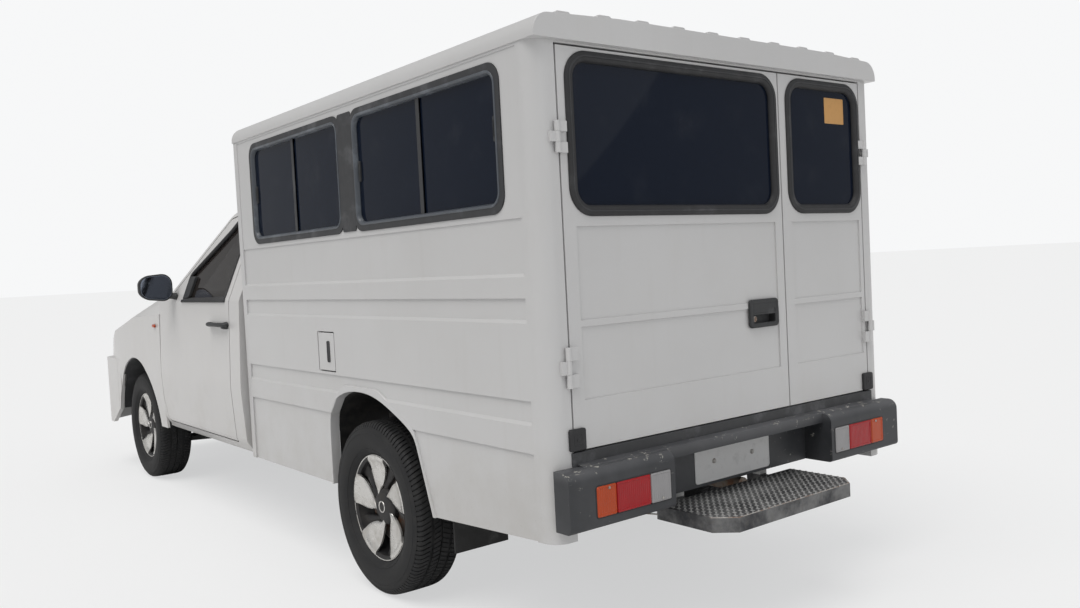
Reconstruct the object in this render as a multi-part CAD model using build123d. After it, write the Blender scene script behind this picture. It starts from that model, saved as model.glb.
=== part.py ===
from build123d import *
import os
from math import cos, pi, sin

# Single cab pickup truck with a closed rear body on the load frame, in millimetres.
# X points forwards, Y to the left, Z up; the ground is Z = 0 and X = 0 is the middle of the length.

# Wheels and axles
wheelbase = 3085.0
rear_axle_x = -1375.0
front_axle_x = rear_axle_x + wheelbase
tyre_radius = 333.0
tyre_width = 205.0
tread_half = 84.0
tyre_belly = 70.0
rim_seat_radius = 190.5
rim_half = 76.0
flange_radius = 203.0
flange_thickness = 9.0
rim_wall = 7.0
rear_wheel_y = 755.0
front_wheel_y = 740.0
kingpin_y = 662.0
hub_face = 28.0
spoke_face = 66.0
spoke_thickness = 20.0
hub_radius = 74.0
cap_radius = 31.0
spoke_count = 5
wheel_sides = 46
groove_y = 38.0
groove_width = 12.0
groove_depth = 8.0
spindle_radius = 20.0
spindle_fit = 0.05
spindle_length = 28.0
drum_radius = 134.0
drum_depth = 60.0
disc_radius = 128.0
disc_thickness = 22.0
disc_inset = 22.0
disc_hat = 74.0
seat_gap = 0.3

# Rear body, placed from the rear axle
box_front_x = rear_axle_x + 1227.0
box_rear_x = rear_axle_x - 1102.0
box_half = 846.0
box_wall = 38.0
box_roof_edge = 1880.0
box_roof_top = box_roof_edge + 70
roof_crown = 14.0
roof_skin = 12.0
roof_corner = 62.0
roof_lip = 20.0
rib_count = 10
rib_height = 12.0
rib_width = 74.0
rib_pitch = 162.0
skirt_z = 374.0
floor_top = 668.0
floor_thickness = 30.0
frame_post = 85.0
post_depth = 62.0
post_corner = 58.0
opening_half = box_half - frame_post
door_split_y = -264.0
door_low = 676.0
door_high = box_roof_edge - 12
rear_sill_low = 600.0
shut_gap = 6.0
rear_door_thickness = 42.0
press_depth = 7.0
press_slope = 12.0

# Cab, placed from the front axle and the rear body
cab_gap = 34.0
cab_back_x = box_front_x + cab_gap
cab_low = 376.0
cab_floor = 560.0
cab_underside_z = cab_floor - 40
belt_z = 1128.0
roof_z = 1690.0
cab_half = 874.0
door_front_x = front_axle_x - 555.0
door_rear_x = cab_back_x + 139.0
firewall_x = front_axle_x - 345.0
cab_frame_wall = 42.0
cab_door_wall = 96.0
cab_lining_y = cab_half - 6 - cab_door_wall
screen_curve = 2100.0
arch_radius = 438.0
hood_rear_x = front_axle_x - 225.0
hood_front_x = front_axle_x + 846.0
hood_half = cab_half - 219
bumper_front_x = front_axle_x + 985.0
bumper_top = 742.0
bumper_low = 300.0
bumper_wall = 24.0
plate_pitch = 200.0
plate_bolt_z = 520.0
plate_hole_radius = 3.5
skin = 14.0
glass = 5.0

# Chassis
rail_half = 415.0
rail_width = 75.0
rail_height = 130.0
rail_top = 610.0
front_rail_top = 560.0
rail_kick = 60.0
engine_back_x = front_axle_x - 235.0
exhaust_y = 250.0
exhaust_radius = 28.0
exhaust_low = 356.0
exhaust_high = 492.0
silencer_radius = 76.0
bumper_plate_x = rear_axle_x - 1052.0
bumper_plate = 40.0
step_top = 420.0
step_rear_x = rear_axle_x - 1320.0
step_half = 352.0
bumper_rear_x = rear_axle_x - 1170.0

os.makedirs("parts", exist_ok=True)


def outline(points, rounding=0.0):
    """Closed flat face through (u, v) points; rounding is one radius or one for each corner."""
    if rounding == 0.0:
        return make_face(Polyline(*points, close=True))
    return make_face(FilletPolyline(*points, radius=rounding, close=True))


def rectangle(u_low, u_high, v_low, v_high, rounding=0.0):
    corners = [(u_low, v_low), (u_high, v_low), (u_high, v_high), (u_low, v_high)]
    return outline(corners, rounding)


def side_solid(face, y_low, y_high):
    """Face drawn in x and z, thick from y_low to y_high."""
    plane = Plane(origin=(0, y_high, 0), x_dir=(1, 0, 0), z_dir=(0, -1, 0))
    return extrude(plane * face, y_high - y_low)


def plan_solid(face, z_low, z_high):
    """Face drawn in x and y, thick from z_low to z_high."""
    return extrude(Pos(0, 0, z_low) * face, z_high - z_low)


def end_solid(face, x_low, x_high):
    """Face drawn in y and z, thick from x_low to x_high."""
    plane = Plane(origin=(x_low, 0, 0), x_dir=(0, 1, 0), z_dir=(1, 0, 0))
    return extrude(plane * face, x_high - x_low)


def block(x_low, x_high, y_low, y_high, z_low, z_high):
    middle = ((x_low + x_high) / 2, (y_low + y_high) / 2, (z_low + z_high) / 2)
    return Pos(*middle) * Box(x_high - x_low, y_high - y_low, z_high - z_low)


def bar(x, y, z, radius, length, direction):
    """Round bar centred at x, y, z along the direction X, Y or Z."""
    turn = {"X": Rot(0, 90, 0), "Y": Rot(90, 0, 0), "Z": Rot(0, 0, 0)}[direction]
    return Pos(x, y, z) * turn * Cylinder(radius, length)


def other_side(shape):
    return mirror(shape, about=Plane.XZ)


def both_sides(shape):
    return Compound([shape, other_side(shape)])


def turned(points, rounding=0.0):
    """Ring turned about the Y axis from (radius, y) points."""
    plane = Plane(origin=(0, 0, 0), x_dir=(0, 0, 1), z_dir=(-1, 0, 0))
    return revolve(plane * outline(points, rounding), axis=Axis.Y)


def ring_corner(radius, index, sides):
    """x and z of a corner of a regular ring, the first one straight down."""
    angle = 2 * pi * index / sides
    return radius * sin(angle), -radius * cos(angle)


def polygon(radius, sides):
    return outline([ring_corner(radius, index, sides) for index in range(sides)])


def faceted(points, sides):
    """Ring about the Y axis with flat faces, from closed (radius, y) points."""
    faces = []
    for (radius_a, y_a), (radius_b, y_b) in zip(points, points[1:] + points[:1]):
        for index in range(sides):
            x0, z0 = ring_corner(1.0, index, sides)
            x1, z1 = ring_corner(1.0, index + 1, sides)
            faces.append(Face(Wire.make_polygon([
                (radius_a * x0, y_a, radius_a * z0), (radius_b * x0, y_b, radius_b * z0),
                (radius_b * x1, y_b, radius_b * z1), (radius_a * x1, y_a, radius_a * z1),
            ])))
    return Solid(Shell(faces))


pieces = {}


# Wheels: built at the origin with the outer face towards +Y
def tyre():
    """Solid ring of flat faces with two grooves round the tread; its bead cones lie in the wheel's flanges."""
    half = tyre_width / 2
    bead = rim_half - flange_thickness
    seat = rim_seat_radius / cos(pi / wheel_sides)
    right = [
        (seat, bead), (tyre_radius - tyre_belly, half), (tyre_radius - 16, half - 7), (tyre_radius, tread_half),
        (tyre_radius, groove_y + groove_width / 2), (tyre_radius - groove_depth, groove_y + groove_width / 4),
        (tyre_radius - groove_depth, groove_y - groove_width / 4), (tyre_radius, groove_y - groove_width / 2),
    ]
    return faceted([(radius, -y) for radius, y in right] + right[::-1], wheel_sides)


def wheel():
    """Barrel and a five spoke face; each spoke is a blade that widens towards the rim."""
    seat = rim_seat_radius - seat_gap
    inner = seat - rim_wall
    bead = rim_half - flange_thickness
    slope = (tyre_width / 2 - bead) / (tyre_radius - tyre_belly - rim_seat_radius)
    flange_y = bead + slope * (flange_radius - rim_seat_radius) + seat_gap
    barrel = faceted([
        (flange_radius, rim_half), (flange_radius, flange_y), (seat, bead + seat_gap), (seat, -bead - seat_gap),
        (flange_radius, -flange_y), (flange_radius, -rim_half), (inner, -rim_half), (inner, rim_half),
    ], wheel_sides)
    face_back = spoke_face - spoke_thickness
    face = side_solid(polygon(inner + 2, wheel_sides), face_back, spoke_face)
    window = outline([
        (hub_radius + 4, -8), (inner - 22, -76), (inner - 6, -24), (inner - 30, 34), (hub_radius + 16, 22),
    ])
    cutter = side_solid(window, face_back - 30, spoke_face + 30)
    for index in range(spoke_count):
        face -= Rot(0, index * 360 / spoke_count, 0) * cutter
    face += side_solid(polygon(hub_radius, wheel_sides // 2), hub_face, spoke_face)
    face += side_solid(polygon(cap_radius, wheel_sides // 2), hub_face, spoke_face + 8)
    bore = bar(0, hub_face + spindle_length / 2, 0, spindle_radius + spindle_fit, spindle_length, "Y")
    return barrel + face - bore


def brake_disc():
    ring_out = hub_face - disc_inset
    disc = side_solid(polygon(disc_radius, wheel_sides), ring_out - disc_thickness, ring_out)
    disc += side_solid(polygon(disc_hat, wheel_sides // 2), ring_out, hub_face)
    return disc - bar(0, 0, 0, spindle_radius + spindle_fit, 4 * hub_face, "Y")


def brake_drum():
    drum = side_solid(polygon(drum_radius, wheel_sides), hub_face - drum_depth, hub_face)
    return drum - bar(0, 0, 0, spindle_radius + spindle_fit, 4 * hub_face, "Y")


tyre_shape = tyre()
wheel_shape = wheel()
disc_shape = brake_disc()
drum_shape = brake_drum()

# name, axle x, wheel y, brake node, brake
wheel_places = [
    ("front", front_axle_x, front_wheel_y, "brake_disc", disc_shape),
    ("rear", rear_axle_x, rear_wheel_y, "brake_drum", drum_shape),
]
for end, axle_x, wheel_y, brake_name, brake_shape in wheel_places:
    place = Pos(axle_x, wheel_y, tyre_radius)
    for name, shape in (("tyre", tyre_shape), ("wheel", wheel_shape), (brake_name, brake_shape)):
        placed = place * shape
        pieces[f"{name}_{end}_left"] = placed
        pieces[f"{name}_{end}_right"] = other_side(placed)


# Front suspension: a knuckle turns on the kingpin line between an upper and a lower arm
arm_reach = 118.0
arm_thickness = 26.0


def knuckle():
    axle_z = tyre_radius
    disc_back = front_wheel_y + hub_face - disc_inset - disc_thickness
    reach = arm_reach - arm_thickness / 2 - seat_gap
    upright = bar(front_axle_x, kingpin_y, axle_z, 24, 2 * reach, "Z")
    carrier_end = disc_back - seat_gap
    carrier = bar(front_axle_x, (kingpin_y + carrier_end) / 2, axle_z, 50, carrier_end - kingpin_y, "Y")
    spindle_end = front_wheel_y + hub_face + spindle_length - 2
    spindle = bar(front_axle_x, (kingpin_y + spindle_end) / 2, axle_z, spindle_radius,
                  spindle_end - kingpin_y, "Y")
    caliper = block(front_axle_x - disc_radius - 14, front_axle_x - 74, disc_back - 26, disc_back - seat_gap,
                    axle_z - 52, axle_z + 52)
    bracket = block(front_axle_x - 90, front_axle_x, disc_back - 26, disc_back - 10, axle_z - 24, axle_z + 24)
    steering_arm = block(front_axle_x - 130, front_axle_x, kingpin_y - 16, kingpin_y + 2,
                         axle_z - 62, axle_z - 42)
    return upright + carrier + spindle + caliper + bracket + steering_arm


pieces["knuckle_left"] = knuckle()
pieces["knuckle_right"] = other_side(pieces["knuckle_left"])


def front_suspension():
    """Upper and lower arm on each side, bolted to the rail's outer face by a tower."""
    axle_z = tyre_radius
    mount_y = rail_half + 1
    side = block(front_axle_x - 130, front_axle_x + 130, mount_y - 76, mount_y - 20,
                 axle_z - arm_reach - 20, front_rail_top - rail_height + rail_kick)
    for z in (axle_z - arm_reach, axle_z + arm_reach):
        arm = outline([
            (front_axle_x - 26, kingpin_y + 24), (front_axle_x + 26, kingpin_y + 24),
            (front_axle_x + 120, mount_y), (front_axle_x + 120, mount_y - 60),
            (front_axle_x - 120, mount_y - 60), (front_axle_x - 120, mount_y),
        ])
        arm -= outline([
            (front_axle_x - 16, kingpin_y - 60), (front_axle_x + 16, kingpin_y - 60),
            (front_axle_x + 82, mount_y + 20), (front_axle_x - 82, mount_y + 20),
        ])
        side += plan_solid(arm, z - arm_thickness / 2, z + arm_thickness / 2)
    cross = block(front_axle_x - 90, front_axle_x + 90, 70 - rail_half, rail_half - 70,
                  axle_z - arm_reach - 20, axle_z - arm_reach + 60)
    return side + other_side(side) + cross


# Chassis: two box rails with a kick over each axle, and the cross members between them
cross_members = [  # x from the rear axle, z of the top
    (-977.0, 580.0), (-420.0, 590.0), (380.0, 590.0), (1060.0, 590.0), (1900.0, 490.0), (2560.0, 450.0),
    (3890.0, 530.0),
]
cross_depth = 60.0
cross_half_width = 35.0
under_cab = cab_floor - 50
bumper_horn_y = 200.0


def chassis_rail():
    rear_end = bumper_plate_x + bumper_plate
    front_end = bumper_front_x - 150
    low = rail_top - rail_height
    front_low = front_rail_top - rail_height
    rail = side_solid(outline([
        (rear_end, low + 40), (rear_axle_x - 420, low + 40), (rear_axle_x - 300, low + 78),
        (rear_axle_x + 260, low + 78), (rear_axle_x + 420, low - 20), (rear_axle_x + 1180, low - 20),
        (rear_axle_x + 1400, under_cab - rail_height + 10), (front_axle_x - 400, under_cab - rail_height + 10),
        (front_axle_x - 170, front_low + rail_kick), (front_axle_x + 420, front_low + rail_kick),
        (front_axle_x + 560, front_low), (front_end, front_low), (front_end, front_rail_top - 20),
        (front_axle_x + 420, front_rail_top + 40), (front_axle_x - 130, front_rail_top + 40),
        (front_axle_x - 270, under_cab), (box_front_x + 30, under_cab), (box_front_x - 60, rail_top),
        (rear_end, rail_top),
    ]), rail_half - rail_width, rail_half)
    for x in (cab_back_x + 160, firewall_x - 250):
        rail += block(x - 40, x + 40, rail_half - rail_width, rail_half, under_cab - 2,
                      cab_underside_z - seat_gap)
    return rail


def chassis_cross():
    """Tubes between the rails, and two horns that carry the front bumper."""
    half = rail_half - rail_width - seat_gap
    tubes = [
        block(rear_axle_x + x - cross_half_width, rear_axle_x + x + cross_half_width, -half, half,
              top - cross_depth, top)
        for x, top in cross_members
    ]
    last_x, last_top = cross_members[-1]
    for side in (-1, 1):
        tubes[-1] += block(rear_axle_x + last_x, bumper_front_x - bumper_wall - seat_gap,
                           side * bumper_horn_y - 30, side * bumper_horn_y + 30, last_top - cross_depth, last_top)
    return Compound(tubes)


# Rear axle with its propeller shaft, on two leaf springs
spring_y = 510.0
axle_tube_radius = 42.0


def rear_axle():
    z = tyre_radius
    drum_back = rear_wheel_y + hub_face - drum_depth
    spindle_end = rear_wheel_y + hub_face + spindle_length - 2
    tube = bar(rear_axle_x, 0, z, axle_tube_radius, 2 * (drum_back - 8), "Y")
    tube += bar(rear_axle_x, 0, z, spindle_radius, 2 * spindle_end, "Y")
    tube += bar(rear_axle_x, 60, z, 126, 150, "X")
    for side in (-1, 1):
        tube += bar(rear_axle_x, side * (drum_back - 4 - seat_gap), z, drum_radius - 4, 8, "Y")
        tube += block(rear_axle_x - 60, rear_axle_x + 60, side * spring_y - 38, side * spring_y + 38,
                      z + 24, z + axle_tube_radius + 12)
    nose = bar(rear_axle_x + 135, 60, z, 44, 130, "X")
    shaft_start = rear_axle_x + 190
    shaft_end = engine_back_x - 620
    shaft = bar((shaft_start + shaft_end) / 2, 60, z + 30, 36, shaft_end - shaft_start, "X")
    return tube + nose + shaft


def leaf_springs():
    z = tyre_radius + axle_tube_radius + 12
    leaves = side_solid(outline([
        (rear_axle_x - 150, z), (rear_axle_x + 150, z), (rear_axle_x + 160, z + 14),
        (rear_axle_x + 360, z + 26), (rear_axle_x + 640, z + 62), (rear_axle_x + 660, z + 92),
        (rear_axle_x + 620, z + 92), (rear_axle_x + 340, z + 48), (rear_axle_x + 120, z + 36),
        (rear_axle_x - 120, z + 36), (rear_axle_x - 340, z + 48), (rear_axle_x - 620, z + 92),
        (rear_axle_x - 660, z + 92), (rear_axle_x - 640, z + 62), (rear_axle_x - 360, z + 26),
        (rear_axle_x - 160, z + 14),
    ]), spring_y - 32, spring_y + 32)
    for end in (-640, 640):
        hanger = block(rear_axle_x + end - 22, rear_axle_x + end + 22, rail_half, spring_y + 44,
                       z + 78, z + 150)
        leaves += hanger
    return both_sides(leaves)


pieces["chassis_rails"] = both_sides(chassis_rail())
pieces["chassis_cross"] = chassis_cross()
pieces["front_suspension"] = front_suspension()
pieces["rear_axle"] = rear_axle()
pieces["leaf_springs"] = leaf_springs()


def engine_block():
    """Closed engine and gearbox as one plain mass between the rails."""
    engine = block(engine_back_x, front_axle_x + 400, -230, 230, 500, 960)
    gearbox_low = cross_members[5][1] + seat_gap
    gearbox = block(engine_back_x - 620, engine_back_x, -120, 120, gearbox_low, under_cab + 5)
    gearbox += block(engine_back_x - 620, engine_back_x - 560, 0, 100, 330, gearbox_low)
    for side in (-1, 1):
        y_low, y_high = sorted((side * 230, side * (rail_half - rail_width - seat_gap)))
        engine += block(front_axle_x + 60, front_axle_x + 130, y_low, y_high, 520, 580)
    return engine + gearbox


def exhaust():
    """Pipe from the engine to the tail, over the rear axle, with one silencer."""
    y = -exhaust_y
    route = Polyline(
        (engine_back_x + 20, y, exhaust_low), (rear_axle_x + 420, y, exhaust_low),
        (rear_axle_x + 220, y, exhaust_high), (rear_axle_x - 200, y, exhaust_high),
        (rear_axle_x - 440, y, exhaust_low), (rear_axle_x - 880, y, exhaust_low))
    start = Plane(origin=(engine_back_x + 20, y, exhaust_low), z_dir=(-1, 0, 0))
    pipe = sweep(start * Circle(exhaust_radius), path=route, transition=Transition.RIGHT)
    silencer = bar(rear_axle_x + 1250, y, exhaust_low, silencer_radius, 420, "X")
    riser = block(engine_back_x, engine_back_x + 60, -275, -230 - seat_gap, exhaust_low, 520)
    return pipe + silencer + riser


pieces["engine_block"] = engine_block()
pieces["exhaust"] = exhaust()
pieces["fuel_tank"] = plan_solid(
    rectangle(rear_axle_x + 440, box_front_x - 210, 112, rail_half - rail_width - seat_gap, 30.0), 330, 560)


# Rear body side: a thick wall with pressed bands inside a raised edge
arch_points = [  # x from the rear axle, z
    (362.0, skirt_z - 20), (359.0, 640.0), (230.0, 789.0), (-60.0, 789.0), (-317.0, 668.0),
    (-432.0, skirt_z - 20),
]
arch_radii = [0, 130.0, 90.0, 120.0, 60.0, 0]
# z of the upper edge and of the lower edge; the lower edge slopes out like a shelf
pressed_bands = [(1372.0, 1196.0), (1134.0, 1058.0), (828.0, 752.0), (670.0, skirt_z - 40)]
press_front_x = box_front_x - 42
press_rear_x = box_rear_x + post_depth + 22.0
window_low = 1390.0
window_high = box_roof_edge - 30
window_rear_x = rear_axle_x - 940.0
window_front_x = rear_axle_x + 1040.0
window_corner = 62.0
mullion_x = rear_axle_x + 75.0
mullion_width = 86.0
flap_front_x = rear_axle_x + 417.0
flap_rear_x = rear_axle_x + 272.0
flap_low = 844.0
flap_high = 998.0
flap_thickness = 4.0
flap_gap = 5.0
window_spans = [
    (window_rear_x, mullion_x - mullion_width / 2),
    (mullion_x + mullion_width / 2, window_front_x),
]
seal = 26.0


def box_side():
    rear = box_rear_x + post_depth
    wall = side_solid(outline([
        (rear, skirt_z + 34), (rear_axle_x - 432, skirt_z), (box_front_x, skirt_z),
        (box_front_x, box_roof_edge), (rear, box_roof_edge),
    ]), box_half - box_wall, box_half)
    arch = outline([(rear_axle_x + x, z) for x, z in arch_points], arch_radii)
    wall -= side_solid(arch, box_half - 2 * box_wall, box_half + 20)
    outer = side_solid(rectangle(rear + 12, box_front_x - 42, window_low - 20, box_roof_edge - 8),
                       box_half - 3, box_half + 1)
    wall -= outer
    for high, low in pressed_bands:
        groove = end_solid(outline([
            (box_half + 1, high), (box_half - press_depth, high), (box_half - press_depth, low + press_slope),
            (box_half + 1, low),
        ]), press_rear_x, press_front_x)
        wall -= groove
    for x_low, x_high in window_spans:
        wall -= side_solid(rectangle(x_low, x_high, window_low, window_high, window_corner),
                           box_half - 2 * box_wall, box_half + 20)
    return wall


def fuel_pocket():
    """Pocket for the flap, with a shallow cup and a filler neck behind it."""
    return side_solid(rectangle(flap_rear_x - flap_gap, flap_front_x + flap_gap, flap_low - flap_gap,
                                flap_high + flap_gap, 8.0), box_half - press_depth - 20, box_half + 1)


left_side = box_side()
pieces["box_side_left"] = left_side - fuel_pocket()
pieces["box_side_right"] = other_side(left_side)



def fuel_flap():
    """Plate with a rolled front edge, hung on two short pins in the pocket's ends."""
    axis_x = flap_front_x - flap_thickness
    axis_y = box_half - flap_thickness
    plate = side_solid(rectangle(flap_rear_x, axis_x, flap_low, flap_high, [6.0, 0, 0, 6.0]), axis_y, box_half)
    plate -= side_solid(rectangle(flap_rear_x + 40, flap_rear_x + 52, flap_low + 40, flap_high - 34, 5.0),
                        box_half - 1.5, box_half + 1)
    height = flap_high - flap_low
    middle = (flap_high + flap_low) / 2
    roll = bar(axis_x, axis_y, middle, flap_thickness, height, "Z")
    pin = bar(axis_x, axis_y, middle, 2.2, height + 2 * (flap_gap - seat_gap), "Z")
    return plate + roll + pin


pieces["fuel_flap"] = fuel_flap()


def side_windows():
    """Black frames of the side windows, each with its sash bar, as a ring in the wall."""
    frames = None
    for x_low, x_high in window_spans:
        hole = rectangle(x_low + 0.3, x_high - 0.3, window_low + 0.3, window_high - 0.3, window_corner)
        inner = rectangle(x_low + seal, x_high - seal, window_low + seal, window_high - seal,
                          window_corner - seal + 8)
        ring = side_solid(hole - inner, box_half - box_wall + 4, box_half + 1)
        middle = (x_low + x_high) / 2
        ring += side_solid(rectangle(middle - 11, middle + 11, window_low + seal - 2, window_high - seal + 2),
                           box_half - 26, box_half - 8)
        frames = ring if frames is None else Compound([frames, ring])
    return frames


def side_glass():
    panes = []
    for x_low, x_high in window_spans:
        middle = (x_low + x_high) / 2
        pane = rectangle(x_low + seal, x_high - seal, window_low + seal, window_high - seal,
                         window_corner - seal + 8)
        whole = side_solid(pane, box_half - 20, box_half - 20 + glass)
        panes.append(whole - block(middle - 11, middle + 11, 0, box_half + 20, 0, 2000))
    return Compound(panes)


pieces["side_window_frames"] = both_sides(side_windows())
pieces["side_glass"] = both_sides(side_glass())

# Floor of the rear body with its cross bearers and the boxes over the wheels
wheel_box_half = 470.0
wheel_box_top = 860.0
wheel_box_y = 520.0
bench_x = rear_axle_x + 775.0
bench_pitch_x = 400.0
bench_pitch_y = 900.0
bench_hole_radius = 5.5
floor_bearers = [-960.0, -520.0, 0.0, 520.0, 1000.0]  # x from the rear axle


def box_floor():
    inner = box_half - box_wall
    low = floor_top - floor_thickness
    floor = block(box_rear_x + post_depth, box_front_x - box_wall, -inner, inner, low, floor_top)
    for side in (-1, 1):
        y_low, y_high = sorted((side * wheel_box_y, side * inner))
        floor -= block(rear_axle_x - wheel_box_half, rear_axle_x + wheel_box_half, y_low, y_high,
                       low - 10, floor_top + 10)
        floor += block(rear_axle_x - wheel_box_half, rear_axle_x + wheel_box_half, y_low, y_high,
                       low, wheel_box_top)
        inner_low, inner_high = sorted((side * (wheel_box_y + skin), side * (inner + 10)))
        floor -= block(rear_axle_x - wheel_box_half + skin, rear_axle_x + wheel_box_half - skin,
                       inner_low, inner_high, low - 10, wheel_box_top - skin)
    for from_axle in floor_bearers:
        x = rear_axle_x + from_axle
        floor += block(x - 30, x + 30, -wheel_box_y + 10, wheel_box_y - 10, rail_top + seat_gap, low)
    for x, y in ((-1, -1), (-1, 1), (1, -1), (1, 1)):
        floor -= bar(bench_x + x * bench_pitch_x / 2, y * bench_pitch_y / 2, floor_top, bench_hole_radius, 200, "Z")
    return floor


def box_front_wall():
    inner = box_half - box_wall
    return block(box_front_x - box_wall, box_front_x, -inner, inner, floor_top - floor_thickness,
                 box_roof_edge)


def box_roof():
    """Crowned roof with rounded side bows and lengthwise ribs."""
    half = box_half + 4
    section = outline([
        (-half, box_roof_edge), (half, box_roof_edge), (half, box_roof_top),
        (half * 0.6, box_roof_top + roof_crown), (-half * 0.6, box_roof_top + roof_crown),
        (-half, box_roof_top),
    ], [0, 0, roof_corner, 40.0, 40.0, roof_corner])
    solid = end_solid(section, box_rear_x - roof_lip, box_front_x + 8)
    hollow = end_solid(outline([
        (-half + 40, box_roof_edge - 1), (half - 40, box_roof_edge - 1), (half - 40, box_roof_top - roof_skin - 12),
        (half * 0.6, box_roof_top + roof_crown - roof_skin), (-half * 0.6, box_roof_top + roof_crown - roof_skin),
        (-half + 40, box_roof_top - roof_skin - 12),
    ]), box_rear_x + post_depth, box_front_x - box_wall)
    solid -= hollow
    for index in range(rib_count):
        y = (index - (rib_count - 1) / 2) * rib_pitch
        base = box_roof_top + roof_crown - 4
        base -= max(0.0, abs(y) - half * 0.6) * roof_crown / (half * 0.4)
        rib = outline([
            (y - rib_width / 2, base - 4), (y + rib_width / 2, base - 4),
            (y + rib_width / 2 - 14, base + rib_height), (y - rib_width / 2 + 14, base + rib_height),
        ], [0, 0, 10, 10])
        solid += end_solid(rib, box_rear_x - roof_lip + 6, box_front_x - 60)
    return solid


hinge_y = opening_half + 9
hinge_offset = 10.0
hinge_radius = 9.0
hinge_axis_x = box_rear_x - hinge_offset
hinges = [(1553.0, 1646.0), (864.0, 985.0)]  # low and high end


def box_rear_frame():
    outer = rectangle(-box_half, box_half, skirt_z + 34, box_roof_edge)
    hole = rectangle(-opening_half, opening_half, door_low - shut_gap, door_high + shut_gap)
    below = rectangle(-box_half + frame_post, box_half - frame_post, skirt_z, rear_sill_low)
    frame = end_solid(outer - hole - below, box_rear_x, box_rear_x + post_depth)
    corner_cut = plan_solid(
        rectangle(box_rear_x, box_rear_x + 2 * post_depth, -box_half, box_half,
                  [post_corner, 0, 0, post_corner]), 0, 3000)
    frame &= corner_cut
    for low, high in hinges:
        third = (high - low) / 3
        for side in (-1, 1):
            barrel = bar(hinge_axis_x, side * hinge_y, (low + high) / 2, hinge_radius, third - 0.6, "Z")
            z_span = (low + third + 0.3, high - third - 0.3)
            leaf = block(hinge_axis_x - 2, hinge_axis_x + 2, *sorted((side * hinge_y, side * (hinge_y + 26))),
                         *z_span)
            foot = block(hinge_axis_x, box_rear_x + 3, *sorted((side * (hinge_y + 12), side * (hinge_y + 26))),
                         *z_span)
            frame += barrel + leaf + foot
    return frame


rear_windows = [  # side, y low, y high
    ("left", door_split_y + 34, opening_half - 52), ("right", 31 - opening_half, door_split_y - 56),
]
rear_window_low = 1387.0
rear_window_high = box_roof_edge - 40
rear_window_corner = 66.0
door_panel_heights = [(1060.0, 1339.0), (822.0, 1040.0)]
door_panels = {  # y low, y high of the pressed panels
    "left": (door_split_y + 42, opening_half - 55),
    "right": (26 - opening_half, door_split_y - 53),
}
handle_y = (door_split_y + 53, door_split_y + 208)
handle_z = (973.0, 1070.0)


def rear_door(side, y_low, y_high):
    door = end_solid(rectangle(y_low, y_high, door_low, door_high), box_rear_x,
                     box_rear_x + rear_door_thickness)
    for z_low, z_high in door_panel_heights:
        door -= end_solid(rectangle(*door_panels[side], z_low, z_high), box_rear_x - 1,
                          box_rear_x + press_depth - 2)
    for name, window_y_low, window_y_high in rear_windows:
        if name == side:
            door -= end_solid(rectangle(window_y_low, window_y_high, rear_window_low, rear_window_high,
                                        rear_window_corner), box_rear_x - 1, box_rear_x + 100)
    hand = 1 if side == "left" else -1
    for low, high in hinges:
        third = (high - low) / 3
        for z_low, z_high in ((low, low + third), (high - third, high)):
            door += bar(hinge_axis_x, hand * hinge_y, (z_low + z_high) / 2, hinge_radius, third, "Z")
            door += block(hinge_axis_x - 2, hinge_axis_x + 2,
                          *sorted((hand * (hinge_y - 36), hand * hinge_y)), z_low, z_high)
            door += block(hinge_axis_x, box_rear_x + 1,
                          *sorted((hand * (hinge_y - 36), hand * (hinge_y - 18))), z_low, z_high)
    if side == "left":
        door -= end_solid(rectangle(handle_y[0] + 6, handle_y[1] - 6, handle_z[0] + 6, handle_z[1] - 6, 8.0),
                          box_rear_x - 1, box_rear_x + 30)
    return door


rear_door_spans = {
    "left": (door_split_y + shut_gap / 2, opening_half - shut_gap),
    "right": (-opening_half + shut_gap, door_split_y - shut_gap / 2),
}
for side, (y_low, y_high) in rear_door_spans.items():
    pieces[f"rear_door_{side}"] = rear_door(side, y_low, y_high)
for side, y_low, y_high in rear_windows:
    pane = rectangle(y_low + 0.3, y_high - 0.3, rear_window_low + 0.3, rear_window_high - 0.3,
                     rear_window_corner)
    pieces[f"rear_glass_{side}"] = end_solid(pane, box_rear_x + 8, box_rear_x + 14)

handle = end_solid(rectangle(*handle_y, *handle_z, 14.0), box_rear_x - 7, box_rear_x - 0.3)
handle += end_solid(rectangle(handle_y[0] + 7, handle_y[1] - 7, handle_z[0] + 7, handle_z[1] - 7, 7.0),
                    box_rear_x - 1, box_rear_x + 28)
handle -= end_solid(rectangle(handle_y[0] + 18, handle_y[1] - 18, handle_z[0] + 14, handle_z[1] - 30, 8.0),
                    box_rear_x - 10, box_rear_x + 20)
pieces["rear_door_handle"] = handle

pieces["box_floor"] = box_floor()
pieces["box_front_wall"] = box_front_wall()
pieces["box_roof"] = box_roof()
pieces["box_rear_frame"] = box_rear_frame()

# Rear bumper, lamps, step and mud flaps
bumper_block_low = 452.0
bumper_block_high = 630.0
bumper_inner_y = 410.0
bumper_outer_y = box_half - 4
lamp_low = 483.0
lamp_high = 577.0
lamp_inner_y = bumper_inner_y + 20
lamp_outer_y = bumper_outer_y - 102
rear_plate_bolt_z = 530.0


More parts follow.
